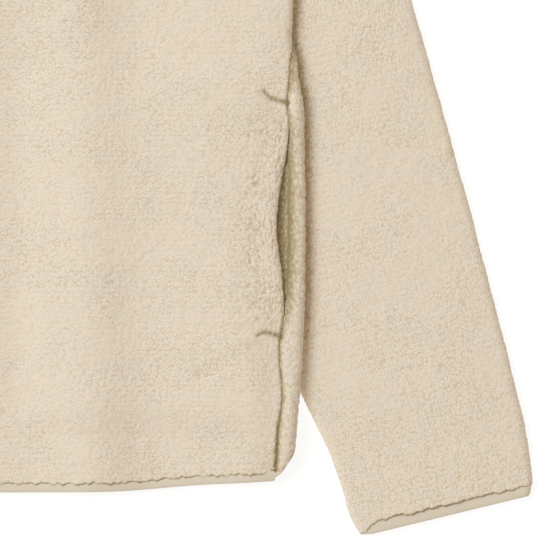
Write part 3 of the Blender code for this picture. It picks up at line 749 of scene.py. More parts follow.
def fill(tree, made, inputs):
    """Gives a node's inputs a value each, or another node's output."""
    for name, value in inputs.items():
        if isinstance(value, bpy.types.NodeSocket):
            tree.links.new(value, made.inputs[name])
        else:
            made.inputs[name].default_value = value


def node(tree, kind, inputs=None, **options):
    made = tree.nodes.new("ShaderNode" + kind)
    for name, value in options.items():
        setattr(made, name, value)
    fill(tree, made, inputs or {})
    return made


def noise_node(tree, vector, scale, detail):
    inputs = {"Vector": vector, "Scale": scale, "Detail": detail}
    return node(tree, "TexNoise", inputs).outputs


def math_node(tree, operation, first, second=0.0, third=0.0):
    return node(tree, "Math", {0: first, 1: second, 2: third}, operation=operation).outputs[0]


def blend_colours(tree, share, low, high):
    return node(tree, "Mix", {0: share, 6: low, 7: high}, data_type="RGBA").outputs[2]


def remap(tree, value, low, high, to_low=0.0, to_high=1.0):
    inputs = {"Value": value, "From Min": low, "From Max": high, "To Min": to_low, "To Max": to_high}
    return node(tree, "MapRange", inputs).outputs[0]


def new_group(name, **inputs):
    """A node group that gives a colour and a height, with its inputs' names and kinds."""
    tree = bpy.data.node_groups.new(name, "ShaderNodeTree")
    for label, kind in inputs.items():
        tree.interface.new_socket(label, in_out="INPUT", socket_type="NodeSocket" + kind)
    for label, kind in (("Colour", "Color"), ("Height", "Float")):
        tree.interface.new_socket(label, in_out="OUTPUT", socket_type="NodeSocket" + kind)
    return tree, tree.nodes.new("NodeGroupInput").outputs, tree.nodes.new("NodeGroupOutput")


def pile_group():
    """Fleece pile: small curls inside the large ones, wavy rows and a mottled colour, with painted
    shade in the crevices between the curls and far down in seams and creases.
    """
    tree, given, out = new_group(
        "Fleece pile", Vector="Vector", Curl="Float", Size="Float", Tip="Color",
        Warm_tip="Color", Crevice="Color", Deep="Color",
    )
    place = given["Vector"]
    drift = noise_node(tree, place, 0.16, 1.0)["Color"]
    inputs = {0: drift, 1: (2.4, 2.4, 2.4), 2: place}
    bent = node(tree, "VectorMath", inputs, operation="MULTIPLY_ADD").outputs[0]
    inputs = {"Vector": bent, "Scale": math_node(tree, "DIVIDE", 1.0, given["Size"])}
    parting = node(tree, "TexVoronoi", inputs, feature="DISTANCE_TO_EDGE").outputs["Distance"]
    inputs["Smoothness"] = 0.3
    cells = node(tree, "TexVoronoi", inputs, feature="SMOOTH_F1").outputs["Distance"]
    dome = remap(tree, cells, 0.75, 0.0)
    parted = remap(tree, parting, 0.0, 0.16)
    rough = remap(tree, noise_node(tree, place, 1.9, 3.0)["Fac"], 0.3, 0.7)
    inputs = {"Vector": place, "Scale": 0.075, "Distortion": 4.0, "Detail": 2.0, "Detail Scale": 6.0}
    rows = node(tree, "TexWave", inputs, bands_direction="Y").outputs["Fac"]
    height = math_node(tree, "MULTIPLY", dome, 0.5)
    for part, share in ((parted, 0.3), (rough, 0.2), (rows, 0.14), (given["Curl"], 0.35)):
        height = math_node(tree, "MULTIPLY_ADD", part, share, height)
    patches = noise_node(tree, place, 0.03, 2.0)["Fac"]
    open_pile = remap(tree, patches, 0.4, 0.6, 0.6, 1.15)
    # Painted shade: the lower the pile's height, the more of the crevice colour in place of the tips'
    # colour.
    hollow = math_node(tree, "SUBTRACT", remap(tree, height, 0.35, 0.85), MEAN_LIT)
    lit = math_node(tree, "MULTIPLY_ADD", hollow, open_pile, MEAN_LIT)
    warm = remap(tree, noise_node(tree, place, 0.055, 3.0)["Fac"], 0.38, 0.62)
    tip = blend_colours(tree, warm, given["Tip"], given["Warm_tip"])
    open_colour = blend_colours(tree, lit, given["Crevice"], tip)
    # Painted shade: the lower the curl input, which carries the shade painted into seams, creases,
    # the pocket's mouth and the body's shadow on the sleeve, the more of the deep colour.
    shade = remap(tree, given["Curl"], -1.3, 0.1)
    colour = blend_colours(tree, shade, given["Deep"], open_colour)
    relief = math_node(tree, "MULTIPLY", height, open_pile)
    fill(tree, out, {"Colour": colour, "Height": relief})
    return tree


def knit_group():
    """Fine ribs of a knit or woven band, with a slight change of colour along it."""
    tree, given, out = new_group("Fine knit", Vector="Vector", Light="Color", Dark="Color")
    place = given["Vector"]
    inputs = {"Vector": place, "Scale": 0.5, "Distortion": 0.6, "Detail": 1.0}
    ribs = node(tree, "TexWave", inputs, bands_direction="DIAGONAL").outputs["Fac"]
    grain = noise_node(tree, place, 1.6, 2.0)["Fac"]
    height = math_node(tree, "MULTIPLY_ADD", grain, 0.8, math_node(tree, "MULTIPLY", ribs, 0.4))
    cloud = noise_node(tree, place, 0.05, 2.0)["Fac"]
    share = math_node(tree, "MULTIPLY_ADD", cloud, 0.5, height)
    colour = blend_colours(tree, remap(tree, share, 0.5, 1.2), given["Dark"], given["Light"])
    fill(tree, out, {"Colour": colour, "Height": height})
    return tree


def millimetres(tree, turn=0.0, stretch=(1.0, 1.0, 1.0)):
    """The piece's own coordinates in millimetres, turned and stretched."""
    inputs = {
        "Vector": node(tree, "TexCoord").outputs["Object"],
        "Rotation": (0.0, 0.0, turn),
        "Scale": tuple(side / MM for side in stretch),
    }
    return node(tree, "Mapping", inputs).outputs[0]


def base_material(name, roughness):
    material = bpy.data.materials.new(name)
    material.use_nodes = True
    tree = material.node_tree
    shader = tree.nodes["Principled BSDF"]
    shader.inputs["Roughness"].default_value = roughness
    return material, tree, shader


def bump(tree, height, distance, strength):
    inputs = {"Height": height, "Distance": distance * MM, "Strength": strength}
    return node(tree, "Bump", inputs).outputs[0]


def fleece(name, colours, turn=0.0, stretch=(1.0, 1.0, 1.0)):
    """Curly cream pile, whose curls lie along the piece's own grain."""
    material, tree, shader = base_material(name, 0.95)
    inputs = {
        "Vector": millimetres(tree, turn, stretch),
        # The attribute read here holds the curls less the painted shade.
        "Curl": node(tree, "Attribute", attribute_name="curl_and_shade").outputs["Fac"],
        "Size": CURL_SIZE,
        "Tip": (*colours.tip, 1),
        "Warm_tip": (*colours.warm_tip, 1),
        "Crevice": (*colours.crevice_shade, 1),
        "Deep": (*colours.deep, 1),
    }
    group = bpy.data.node_groups.get("Fleece pile") or pile_group()
    made = node(tree, "Group", inputs, node_tree=group).outputs
    look = {
        "Base Color": made["Colour"],
        "Normal": bump(tree, made["Height"], 0.42, 0.7),
        "Sheen Weight": 0.15,
        "Sheen Roughness": 0.6,
        "Sheen Tint": (1.0, 0.95, 0.87, 1.0),
        "Specular IOR Level": 0.2,
    }
    fill(tree, shader, look)
    return material


def knit(name, light, dark, roughness=0.8):
    material, tree, shader = base_material(name, roughness)
    inputs = {"Vector": millimetres(tree), "Light": (*light, 1), "Dark": (*dark, 1)}
    group = bpy.data.node_groups.get("Fine knit") or knit_group()
    made = node(tree, "Group", inputs, node_tree=group).outputs
    look = {
        "Base Color": made["Colour"],
        "Normal": bump(tree, made["Height"], 0.25, 0.5),
        "Sheen Weight": 0.1,
        "Specular IOR Level": 0.3,
    }
    fill(tree, shader, look)
    return material


def darker(colour, share):
    return tuple(share * value for value in colour)


def metal(name, colour):
    """Brushed metal, with fine lines across it."""
    material, tree, shader = base_material(name, 0.35)
    lines = noise_node(tree, millimetres(tree, stretch=(0.4, 9.0, 4.0)), 1.0, 3.0)["Fac"]
    share = remap(tree, lines, 0.3, 0.7)
    look = {
        "Base Color": blend_colours(tree, share, (*darker(colour, 0.7), 1), (*colour, 1)),
        "Roughness": remap(tree, lines, 0.3, 0.7, 0.28, 0.45),
        "Metallic": 1.0,
        "Normal": bump(tree, lines, 0.05, 0.3),
    }
    fill(tree, shader, look)
    return material


def moulding(name, colour):
    """Satin moulded teeth, with a fine grain."""
    material, tree, shader = base_material(name, 0.42)
    grain = noise_node(tree, millimetres(tree), 1.3, 2.0)["Fac"]
    share = remap(tree, grain, 0.35, 0.65)
    look = {
        "Base Color": blend_colours(tree, share, (*darker(colour, 0.86), 1), (*colour, 1)),
        "Normal": bump(tree, grain, 0.05, 0.4),
    }
    fill(tree, shader, look)
    return material


def cached(name, make, *args, **kwargs):
    return bpy.data.materials.get(name) or make(name, *args, **kwargs)


def colour_property(name, description, default):
    return FloatVectorProperty(
        name=name, description=description, default=default, subtype="COLOR", min=0, max=1
    )


def length_property(name, description, default):
    return FloatProperty(
        name=name, description=description, default=default, subtype="DISTANCE", unit="LENGTH",
        min=0,
    )


class JacketCloth(bpy.types.PropertyGroup):
    tip: colour_property("Curl", "Colour of the pile's curls", (0.86, 0.757, 0.69))
    warm_tip: colour_property(
        "Warm curl", "Colour of the pile's warmer patches", (0.86, 0.757, 0.655)
    )
    # Painted shade between the curls.
    crevice_shade: colour_property("Crevice", "Colour between the curls", (0.70, 0.595, 0.44))
    # Painted shade far down in a seam, a crease or the pocket's mouth.
    deep: colour_property(
        "Deep", "Colour far down in a seam or a crease", (0.37, 0.275, 0.145)
    )
    binding: colour_property("Binding", "Colour of the knit binding", (0.80, 0.705, 0.60))
    pile_depth: length_property("Pile depth", "Depth of the curls on the fine side", 0.6 * MM)


class JacketStage(bpy.types.PropertyGroup):
    view_width: length_property(
        "View width", "Width of the jacket that the picture spans", 385 * MM
    )
    view_height: length_property("Camera height", "Height of the camera over the jacket", 4.5)
    key_power: FloatProperty(
        name="Key light", description="Power of the large light on the left", default=478.0,
        unit="POWER",
    )
    sky: FloatProperty(name="Sky", description="Strength of the light all round", default=0.54)


def settings():
    return bpy.context.scene.jacket_cloth


def pile_depth():
    return settings().pile_depth / MM


class MakeFronts(bpy.types.Operator):
    """Left and right front: fleece from the zip to the side seam"""

    bl_idname = "jacket.fronts"
    bl_label = "Fronts"

    def execute(self, context):
        material = cached("front_fleece", fleece, settings(), stretch=(0.85, 1.15, 1.0))
        turns = np.linspace(0.3, math.pi / 2, NET)
        for name, fine, broad in (("front_left", 1.15, 2.6), ("front_right", 2.4, 2.8)):
            heights = graded(7, (11, fine * 0.7), (350, fine), (627, broad))
            across = graded(0, (4, fine * 0.7), (76, broad), (251, fine), (262, fine * 0.6))
            middle = front_middle(heights, across / across[-1], turns)
            if name == "front_right":
                middle = mirrored(middle)
            piece = fleece_sheet(
                name + "_fleece", middle, 1.0, (3.2, 2.6, 2.9), pile_depth(), front_shape
            )
            dress(piece, material, "fleece", name)
        return {"FINISHED"}


def front_shape(middle, distance):
    """Curls that hang over the binding by an uneven amount, and the raised edge of the pocket, with
    painted shade in the crinkles by the pocket, at the hem's corner and low at the side.
    """
    near = smooth(1 - along_rows(middle) / 3.5)
    reach = 1.7 + 2.1 * soft_noise(middle * (1, 0, 0) + (0, 40.0, 7.0), 2.8)
    reach = reach + 0.9 * soft_noise(middle * (1, 0, 0) + (0, 11.0, 3.0), 1.6)
    reach = reach + 0.7 * smooth((np.abs(middle[..., 0]) - 190) / 60)
    shift = np.zeros(middle.shape)
    shift[..., 1] = -near * np.maximum(reach, -0.6)
    shift[..., 0] = 0.5 * soft_noise(middle, 2.4) * smooth(1 - distance / 2.5)
    mouth = pocket_mouth(middle)
    ridged = np.exp(-((soft_noise(middle * (0.45, 0.17, 0.3), 1.0) / 0.14) ** 2))
    crinkled = mouth * smooth((np.abs(middle[..., 0]) - 230) / 18)
    raised = 2.8 * smooth(1 - distance / 18) - 1.8 * smooth(1 - distance / 6)
    opened = gape(middle)
    shift[..., 2] = opened * raised - 0.95 * crinkled * ridged - seam_sink(middle, mouth, 24)
    corner = smooth(1 - along_rows(middle) / 7) * smooth(1 - along_side(middle) / 7)
    shift[..., 0] -= 1.8 * corner * np.sign(middle[..., 0])
    shift[..., 1] += 2.2 * corner
    low = smooth((70 - middle[..., 1]) / 50) * smooth(1 - along_side(middle) / 30)
    # Painted shade in the crinkles' crevices, at the hem's corner and low at the side near the hem,
    # and painted shadow under the curls over the binding.
    shade = 0.75 * crinkled * ridged + 0.5 * corner + 0.3 * low
    return shift, shade + hem_shade(middle, along_rows(middle))


def hem_shade(points, up):
    """Painted shadow: dark dashes where the curls hang over a binding."""
    dashes = 2.3 + 2.2 * soft_noise(points * (1, 0.4, 0) + (0, 0, 31.0), 3.4)
    return np.maximum(dashes, 0.3) * np.clip(1 - up / 1.6, 0, 1)


def seam_sink(middle, mouth, reach):
    """How much lower the cloth lies towards the closed side seam."""
    across = np.abs(middle[..., 0])
    y = middle[..., 1]
    near = smooth(1 - np.abs(body_edge(y, "front") - across) / reach)
    return SEAM_SINK * near * (1 - mouth) * smooth((370 - y) / 60) * at_side(middle)


def back_shape(middle, distance):
    """The back's edge at the pocket, which sinks into the mouth, and nubs on its rolled edge, with
    painted shade in the mouth and on the strip beside the seam, and painted light on the nubs that
    stand out.
    """
    mouth = pocket_mouth(middle)
    shift = np.zeros(middle.shape)
    on_top = smooth((distance < 30) * (middle[..., 2] - back_height(260, middle[..., 1])) / 5)
    opened = gape(middle)
    shift[..., 2] = -MOUTH_SINK * opened * smooth(1 - distance / 11)
    shift[..., 2] -= on_top * seam_sink(middle, mouth, 6)
    rolled = smooth((np.abs(middle[..., 0]) - SIDE.at(middle[..., 1], "edge") + HALF + 3) / 3)
    nubs = soft_noise(middle, 1.9) * rolled * (middle[..., 1] < ARMPIT_Y)
    shift[..., 0] += 0.6 * np.sign(middle[..., 0]) * nubs
    y = middle[..., 1]
    # Painted shade in the pocket's mouth and on the strip on top beside the seam; the nubs that stand
    # out get painted light.
    inside = 0.95 * mouth * np.clip(1 - distance / 6.5, 0, 1)
    inside = inside + 0.9 * opened * np.clip(1 - distance / 15, 0, 1)
    closed = 0.5 * smooth((y - 268) / 20) + 0.5 * smooth((60 - y) / 40)
    strip = on_top * (0.12 + (0.3 + closed) * np.clip(1 - distance / 10, 0, 1))
    return shift, inside + strip - 0.35 * nubs


def along_side(middle):
    """How far each place is from the grid's edge at the jacket's side."""
    along = along_columns(middle)
    right_side = middle[0, 0, 0] < -100
    return along if right_side else along[:, -1:] - along


class MakeBack(bpy.types.Operator):
    """Back: one panel under the jacket, rolled up round both sides to the side seams"""

    bl_idname = "jacket.back"
    bl_label = "Back"

    def execute(self, context):
        material = cached("back_fleece", fleece, settings(), stretch=(1.25, 0.7, 1.1))
        heights = graded(7, (350, 1.25), (627, 3.2))
        shares = np.append(graded(0, (1, 1 / 50))[:-1], graded(1, (2, 1 / 19)))
        turns = np.linspace(0.3, math.pi / 2, NET)
        middle = back_middle(heights, shares, turns)
        piece = fleece_sheet("back_fleece", middle, -1.0, (2.6, 4.2, 3.0), pile_depth(), back_shape)
        dress(piece, material, "fleece", "back")
        return {"FINISHED"}


class MakeSleeves(bpy.types.Operator):
    """Sleeves: flattened tubes from the armholes to the cuffs"""

    bl_idname = "jacket.sleeves"
    bl_label = "Sleeves"

    def execute(self, context):
        material = cached("sleeve_fleece", fleece, settings(), turn=-0.25)
        for name, fine, broad in (("sleeve_left", 1.25, 3.2), ("sleeve_right", 2.5, 3.4)):
            outside, inside = self.surfaces(fine, broad)
            if name == "sleeve_right":
                outside, inside = mirrored(outside), mirrored(inside)
            square = normals_of(outside)
            low = along_rows(outside)
            up = low[-1:] - low
            full = np.minimum(rim(low, HALF), rim(up, HEM_RIM))
            height, curl_and_shade = pile(outside, (2.9, 2.7, 2.8), pile_depth())
            # Painted shadow of the body on the sleeve beside the body's edge, and painted shade at
            # the sleeve's rounded edges and under the curls at the cuff.
            past_edge = np.abs(outside[..., 0]) - SIDE.at(outside[..., 1], "edge")
            painted_body_shadow = smooth(1 - past_edge / 10) * (outside[..., 2] > FOLD + HALF)
            painted_body_shadow = painted_body_shadow * (0.45 + 0.55 * smooth((outside[..., 1] - 90) / 40))
            painted_body_shadow = painted_body_shadow * smooth((380 - outside[..., 1]) / 28)
            curl_and_shade = curl_and_shade - 0.9 * (1 - full) - 1.15 * painted_body_shadow - 0.6 * hem_shade(outside, up)
            outside = outside + square * (height * full - HALF * (1 - full))[..., None]
            outside = outside + self.overhang(outside, up)
            fold_side = smooth(1 - (np.abs(outside[..., 0]) - SLEEVE.rows[-1, 1]) / 12)
            bulge = 0.8 * fold_side * between(up, 0, 5, 24, 14) + 1.6 * smooth(1 - low / 5)
            outside[..., 0] -= np.sign(outside[..., 0]) * bulge
            outside[..., 2] = np.maximum(outside[..., 2], FLOOR)
            outside[:, -1] = outside[:, 0]
            curl_and_shade[:, -1] = curl_and_shade[:, 0]
            piece = closed_cloth(name + "_fleece", outside, inside, curl_and_shade, tube=True)
            dress(piece, material, "fleece", name)
        return {"FINISHED"}

    def overhang(self, points, up):
        """Curls at the cuff that hang over its binding, and cover its end at the inner fold."""
        end = SLEEVE.rows[-1]
        across = np.clip((np.abs(points[..., 0]) - end[1]) / (end[3] - end[1]), 0, 1)[..., None]
        along = (1 - across) * FOLD_DOWN + across * CUFF_OUTER_DOWN
        along = along / np.linalg.norm(along, axis=-1, keepdims=True)
        along[..., 0] *= np.sign(points[..., 0])
        ragged = 1.3 * soft_noise(points * (1, 0.3, 0) + (0, 0, 17.0), 3.8)
        ragged = ragged + 0.9 * soft_noise(points * (1, 0.3, 0), 1.9)
        reach = (1.0 + 1.4 * ragged) * smooth(1 - up / 4)
        near_fold = smooth(1 - across[..., 0] / 0.15)
        covered = 6.4 * near_fold * smooth(1 - up / 10)
        along[..., 0] += np.sign(points[..., 0]) * 0.26 * near_fold
        flat = np.concatenate([along, np.zeros(up.shape)[..., None]], axis=-1)
        return flat * (np.maximum(reach, -0.3) + covered)[..., None]

    def surfaces(self, fine, broad):
        """The sleeve's outer surface, and its inner surface on a wider net."""
        stations = np.linspace(0, LAST_STATION, 400)
        ends = np.stack([SLEEVE.at(stations, name) for name in SLEEVE.names[1:]], axis=-1)
        length = along_line((ends[:, :2] + ends[:, 2:]) / 2)
        shown = np.interp(5.2, stations, length)
        places = graded(0, (shown, broad), (length[-1] - 3, fine), (length[-1], fine * 0.6))
        under_count = 33
        turn_count = 7
        top_count = round(150 / fine)
        top_count += -(top_count + under_count + 2 * turn_count) % NET
        turns = np.linspace(0, math.pi, turn_count + 1)[1:-1]
        sides = []
        for radius in (FOLD + HALF, FOLD - HALF):
            rings = []
            for station in np.interp(places, length, stations):
                top = sleeve_ring(station, np.linspace(0, 1, top_count + 1), turns, radius)
                under = sleeve_ring(station, np.linspace(0, 1, under_count + 1), turns, radius)
                rings.append(np.concatenate([under[: under_count + 1], top[top_count + 1 :]]))
            sides.append(np.array(rings))
        return sides[0], sides[1][::NET, ::NET]


class MakeCollar(bpy.types.Operator):
    """Stand collar: fleece, folded flat at its two sides"""

    bl_idname = "jacket.collar"
    bl_label = "Collar"

    def execute(self, context):
        material = cached("collar_fleece", fleece, settings(), stretch=(0.95, 1.05, 1.0))
        shares = np.linspace(0, 1, 53)
        turns = np.linspace(0, math.pi, 9)[1:-1]
        back_shares = np.linspace(1, 0, 41)
        middle = collar_middle(shares, np.linspace(0, 1, 33), turns, back_shares)
        piece = fleece_sheet("collar_fleece", middle, 1.0, (3.3, 3.1, 3.2), pile_depth())
        dress(piece, material, "fleece", "collar")
        return {"FINISHED"}


class MakeBindings(bpy.types.Operator):
    """Knit bindings round the hem and the cuffs"""

    bl_idname = "jacket.bindings"
    bl_label = "Bindings"

    def execute(self, context):
        colour = settings().binding
        material = cached("binding_knit", knit, colour, darker(colour, 0.86))
        self.hem(material)
        for name, side in (("cuff_binding_left", 1), ("cuff_binding_right", -1)):
            self.cuff(name, side, material)
        return {"FINISHED"}

    def hem(self, material):
        side_y = BODY_ROWS.at(BODY_ROWS.rows[0, 0], "side")
        front = np.linspace(FRONT_EDGE, body_edge(side_y, "front"), 120)
        back_last = body_edge(side_y, "back")
        back = np.append(np.linspace(back_last, 255, 30), np.linspace(250, 0, 50))
        edges = []
        for step in (0.0, BINDING_WIDTH + BINDING_UNDER):
            steep = HEM_TUCK * step * smooth((back - 262) / 8)
            on_top = top_points(front, HEM_FRONT.at(front, "y") + step)
            beneath = under_points(back, HEM_BACK.at(back, "y") + step - steep)
            seam = (on_top[-1:] + beneath[:1]) / 2
            half = np.concatenate([on_top[:-1], seam, beneath[1:]])
            edges.append(np.concatenate([half, half[-2::-1] * (-1, 1, 1)]))
        square = line_normals(*edges)
        piece = band("hem_binding_knit", *edges, square, closed=False)
        dress(piece, material, "binding", "hem_binding")

    def cuff(self, name, side, material):
        share = np.linspace(0, 1, 61)
        turns = np.linspace(0, math.pi, 9)[1:-1]
        ends = SLEEVE.rows[-1, 1:].reshape(2, 2)
        rings = []
        for step in CUFF_STEPS:
            folds = ends + np.array([CUFF_DOWN, CUFF_OUTER_DOWN]) * step
            line, across = fold_to_fold(*folds, share)
            rings.append(flat_ring(line, across, turns, FOLD))
        high, low = rings
        x = low[:, 0]
        low = low + 0.1 * smooth(1 - (x - x.min()) / 7)[:, None] * (high - low)
        if side < 0:
            high, low = [ring[::-1] * (-1, 1, 1) for ring in (high, low)]
        square = line_normals(low, high)
        square[-1] = square[0]
        piece = band(name + "_knit", low, high, square, closed=True)
        dress(piece, material, "binding", name)


class MakePockets(bpy.types.Operator):
    """Pocket bags under the fronts, and the fleece facing that shows in each pocket's mouth"""

    bl_idname = "jacket.pockets"
    bl_label = "Pockets"

    def execute(self, context):
        bag_material = cached("bag_knit", knit, (0.64, 0.57, 0.45), (0.56, 0.49, 0.38), 0.9)
        fleece_material = cached("back_fleece", fleece, settings(), stretch=(1.25, 0.7, 1.1))
        for side_name, side in (("left", 1), ("right", -1)):
            bag = self.bag()
            strip = self.facing()
            if side < 0:
                bag, strip = mirrored(bag), mirrored(strip)
            piece = thin_cloth(f"pocket_bag_{side_name}_cloth", bag, BAG)
            dress(piece, bag_material, "bag", f"pocket_bag_{side_name}")
            square = normals_of(strip)
            full = rim(edge_distance(strip), 1.2)
            height, curl_and_shade = pile(strip, (2.2, 3.0, 2.6), 1.3)
            # Painted shade: the facing's pile is darkened throughout, and more the lower it lies in
            # the mouth.
            low = strip[..., 2] - strip[..., 2].min(axis=1, keepdims=True)
            depth = 1 - low / (low.max(axis=1, keepdims=True) + 0.1)
            curl_and_shade = 1.2 * curl_and_shade - 1.35 - 0.55 * depth**0.8
            outside = strip + square * (0.9 * full + (height + 0.3) * full)[..., None]
            inside = (strip - square * (0.3 * full)[..., None])[::NET, ::NET]
            facing = closed_cloth(f"pocket_facing_{side_name}", outside, inside, curl_and_shade)
            dress(facing, fleece_material, "fleece")
        return {"FINISHED"}

    def edge(self, y):
        return body_edge(y, "front") - BAG_INSET

    def bag(self):
        """The bag's cloth, from the mouth's front edge in to its fold and back out."""
        rows = []
        for share in np.linspace(0, 1, 40):
            mouth_y = BAG_MOUTH_Y[0] + (BAG_MOUTH_Y[1] - BAG_MOUTH_Y[0]) * share
            inner_y = BAG_INNER_Y[0] + (BAG_INNER_Y[1] - BAG_INNER_Y[0]) * share
            outs = np.linspace(1, 0, 30)
            out = np.concatenate([outs, [0], outs[::-1]])
            layer = np.concatenate([np.ones(30), [0.5], np.zeros(30)])
            reach = self.edge(mouth_y) - FACING_REACH / 2 - BAG_INNER_X
            x = BAG_INNER_X + reach * out - BAG_FOLD * (layer == 0.5)
            y = inner_y + (mouth_y - inner_y) * smooth(out)
            z = front_height(x, y) - HALF - BAG_GAP - BAG / 2 - 2 * BAG_FOLD * (1 - layer)
            rows.append(np.column_stack([x, y, z]))
        return np.array(rows)

    def facing(self):
        """The fleece inside the mouth: it climbs from under the front's edge to the back's edge."""
        rows = []
        for y in np.linspace(*BAG_MOUTH_Y, 136 + 1):
            start = self.edge(y) - FACING_REACH
            back_edge = under_points(body_edge(y, "back"), y)
            low_z = front_height(self.edge(y), y) - HALF - BAG_GAP - BAG / 2 - 2 * BAG_FOLD
            front_x = self.edge(y) + BAG_INSET
            gap = np.maximum(back_edge[0] - front_x, 0.5)
            out = np.linspace(0, 1, 25)
            x = start + (back_edge[0] + 2.4 - start) * out
            climb = smooth((x - front_x - 0.35 * gap) / (0.75 * gap + 0.8))
            shut = 2.8 * (1 - smooth(gap / 8)) * smooth((x - front_x + 3) / 3)
            sunk = MOUTH_SINK * gape(np.array([back_edge]))[0]
            low = low_z + 0.3 + shut
            z = low + (back_edge[2] - sunk + 0.2 - low) * climb
            rows.append(np.column_stack([x, np.full(len(x), y), z]))
        return np.array(rows)


class MakeZip(bpy.types.Operator):
    """Zip: woven tapes, moulded teeth, retainer box, slider and pull"""

    bl_idname = "jacket.zip"
    bl_label = "Zip"

    def execute(self, context):
        colour = settings().binding
        tape = cached("tape_weave", knit, colour, darker(colour, 0.84), 0.85)
        teeth = cached("teeth_moulding", moulding, (0.58, 0.50, 0.385))
        steel = cached("slider_metal", metal, (0.56, 0.54, 0.51))
        self.tape("zip_tape_left", 1, tape)
        self.tape("zip_tape_right", -1, tape)
        dress(finished("zip_teeth", self.teeth()), teeth, "moulding", "zip_chain")
        retainer = rounded_box(*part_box("zip_box"), 1.2 * MM, 3)
        dress(finished("zip_retainer", retainer), teeth, "moulding", "zip_box")
        dress(finished("zip_slider_body", self.slider()), steel, "metal", "zip_slider")
        pull = finished("zip_pull_tab", self.pull())
        dress(pull, steel, "metal", "zip_pull", body=PULL_BODY)
        return {"FINISHED"}

    def tape(self, name, side, material):
        x, y = np.meshgrid(np.linspace(*TAPE_X, 9), np.linspace(ZIP_LOW_Y, ZIP_TOP_Y, 240))
        ribs = 0.12 * np.cos((x - TAPE_X[0]) * math.pi / 1.7)
        points = np.stack([x, y, TAPE_Z + ribs], axis=-1)
        piece = thin_cloth(name + "_weave", mirrored(points) if side < 0 else points, 0.75)
        dress(piece, material, "tape", name)

    def teeth(self):
        """Moulded teeth, interlocked: one tooth from each side in turn."""
        low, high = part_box("zip_chain")
        pitch = 1.42 * MM
        half = Vector((3.9, 1.15, 2.4)) * MM / 2
        shape = bmesh.new()
        for index in range(int((high.y - low.y) / pitch)):
            x = (0.95 if index % 2 else -0.95) * MM
            middle = Vector((x, low.y + (index + 0.5) * pitch, (low.z + high.z) / 2))
            add_shape(shape, rounded_box(middle - half, middle + half, 0.22 * MM, 1))
        return shape

    def slider(self):
        """Two plates that narrow towards their ends, a post between them and the bridge on top."""
        low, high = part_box("zip_slider")
        top = PLATE_TOP * MM
        shape = bmesh.new()
        for z_low, z_high in ((low.z, low.z + 0.7 * MM), (top - 1.2 * MM, top)):
            corner, opposite = Vector((low.x, low.y, z_low)), Vector((high.x, high.y, z_high))
            plate = rounded_box(corner, opposite, 0.35 * MM, 2)
            for vertex in plate.verts:
                up = (vertex.co.y - low.y) / (high.y - low.y)
                vertex.co.x *= 0.72 + 0.28 * math.sin(math.pi * min(up + 0.12, 1.0)) ** 0.6
            add_shape(shape, plate)
        post_low = Vector((-1.4 * MM, high.y - 3.4 * MM, low.z + 0.2 * MM))
        post_high = Vector((1.4 * MM, high.y - 1.0 * MM, top - 0.3 * MM))
        add_shape(shape, rounded_box(post_low, post_high, 0.3 * MM, 2))
        add_shape(shape, self.bridge(high.z / MM))
        return shape

    def bridge(self, top_z):
        """The arch on the slider that the pull hangs from."""
        section = np.array([(-0.9, 0.0), (0.9, 0.0), (0.9, 1.0), (-0.9, 1.0), (-0.9, 0.0)])
        x, depth = section.T
        angle = np.linspace(0, math.pi, 13)[:, None]
        foot_z = PLATE_TOP - 0.35
        y = HINGE_Y - (4.6 - depth) * np.cos(angle)
        z = foot_z + (top_z - foot_z - depth) * np.abs(np.sin(angle)) ** 0.6
        return closed_tube(np.stack([x + 0 * y, y, z], axis=-1), capped=True)

    def pull(self):
        """The pull: a rounded tab with a slot, on two arms and the crossbar under the bridge."""
        low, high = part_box("zip_pull")
        hinge_y = (HINGE_Y - ORIGIN_Y) * MM
        z = HINGE_Z * MM
        half = 0.65 * MM
        tab_high = Vector((high.x, hinge_y - 10.6 * MM, z + half))
        shape = rounded_tab(Vector((low.x, low.y, z - half)), tab_high, 2.6 * MM)
        reach = Vector((0.7 * MM, 6.05 * MM, half - 0.05 * MM))
        for side in (-1, 1):
            middle = Vector((side * 2.4 * MM, hinge_y - 5.55 * MM, z))
            add_shape(shape, rounded_box(middle - reach, middle + reach, 0.3 * MM, 2))
        bmesh.ops.create_cone(
            shape, cap_ends=True, segments=20, radius1=0.7 * MM, radius2=0.7 * MM, depth=6.0 * MM,
            matrix=Matrix.Translation((0, hinge_y, z)) @ Matrix.Rotation(math.pi / 2, 4, "Y"),
        )
        return shape


def round_off(shape, edges, radius, segments):
    bmesh.ops.bevel(
        shape, geom=edges, offset=radius, offset_type="OFFSET", affect="EDGES",
        segments=segments, profile=0.5, material=-1,
    )


def rounded_box(low, high, radius, segments):
    shape = bmesh.new()
    size = Matrix.Diagonal((*(high - low), 1))
    bmesh.ops.create_cube(shape, size=1, matrix=Matrix.Translation((low + high) / 2) @ size)
    round_off(shape, shape.edges[:], radius, segments)
    return shape


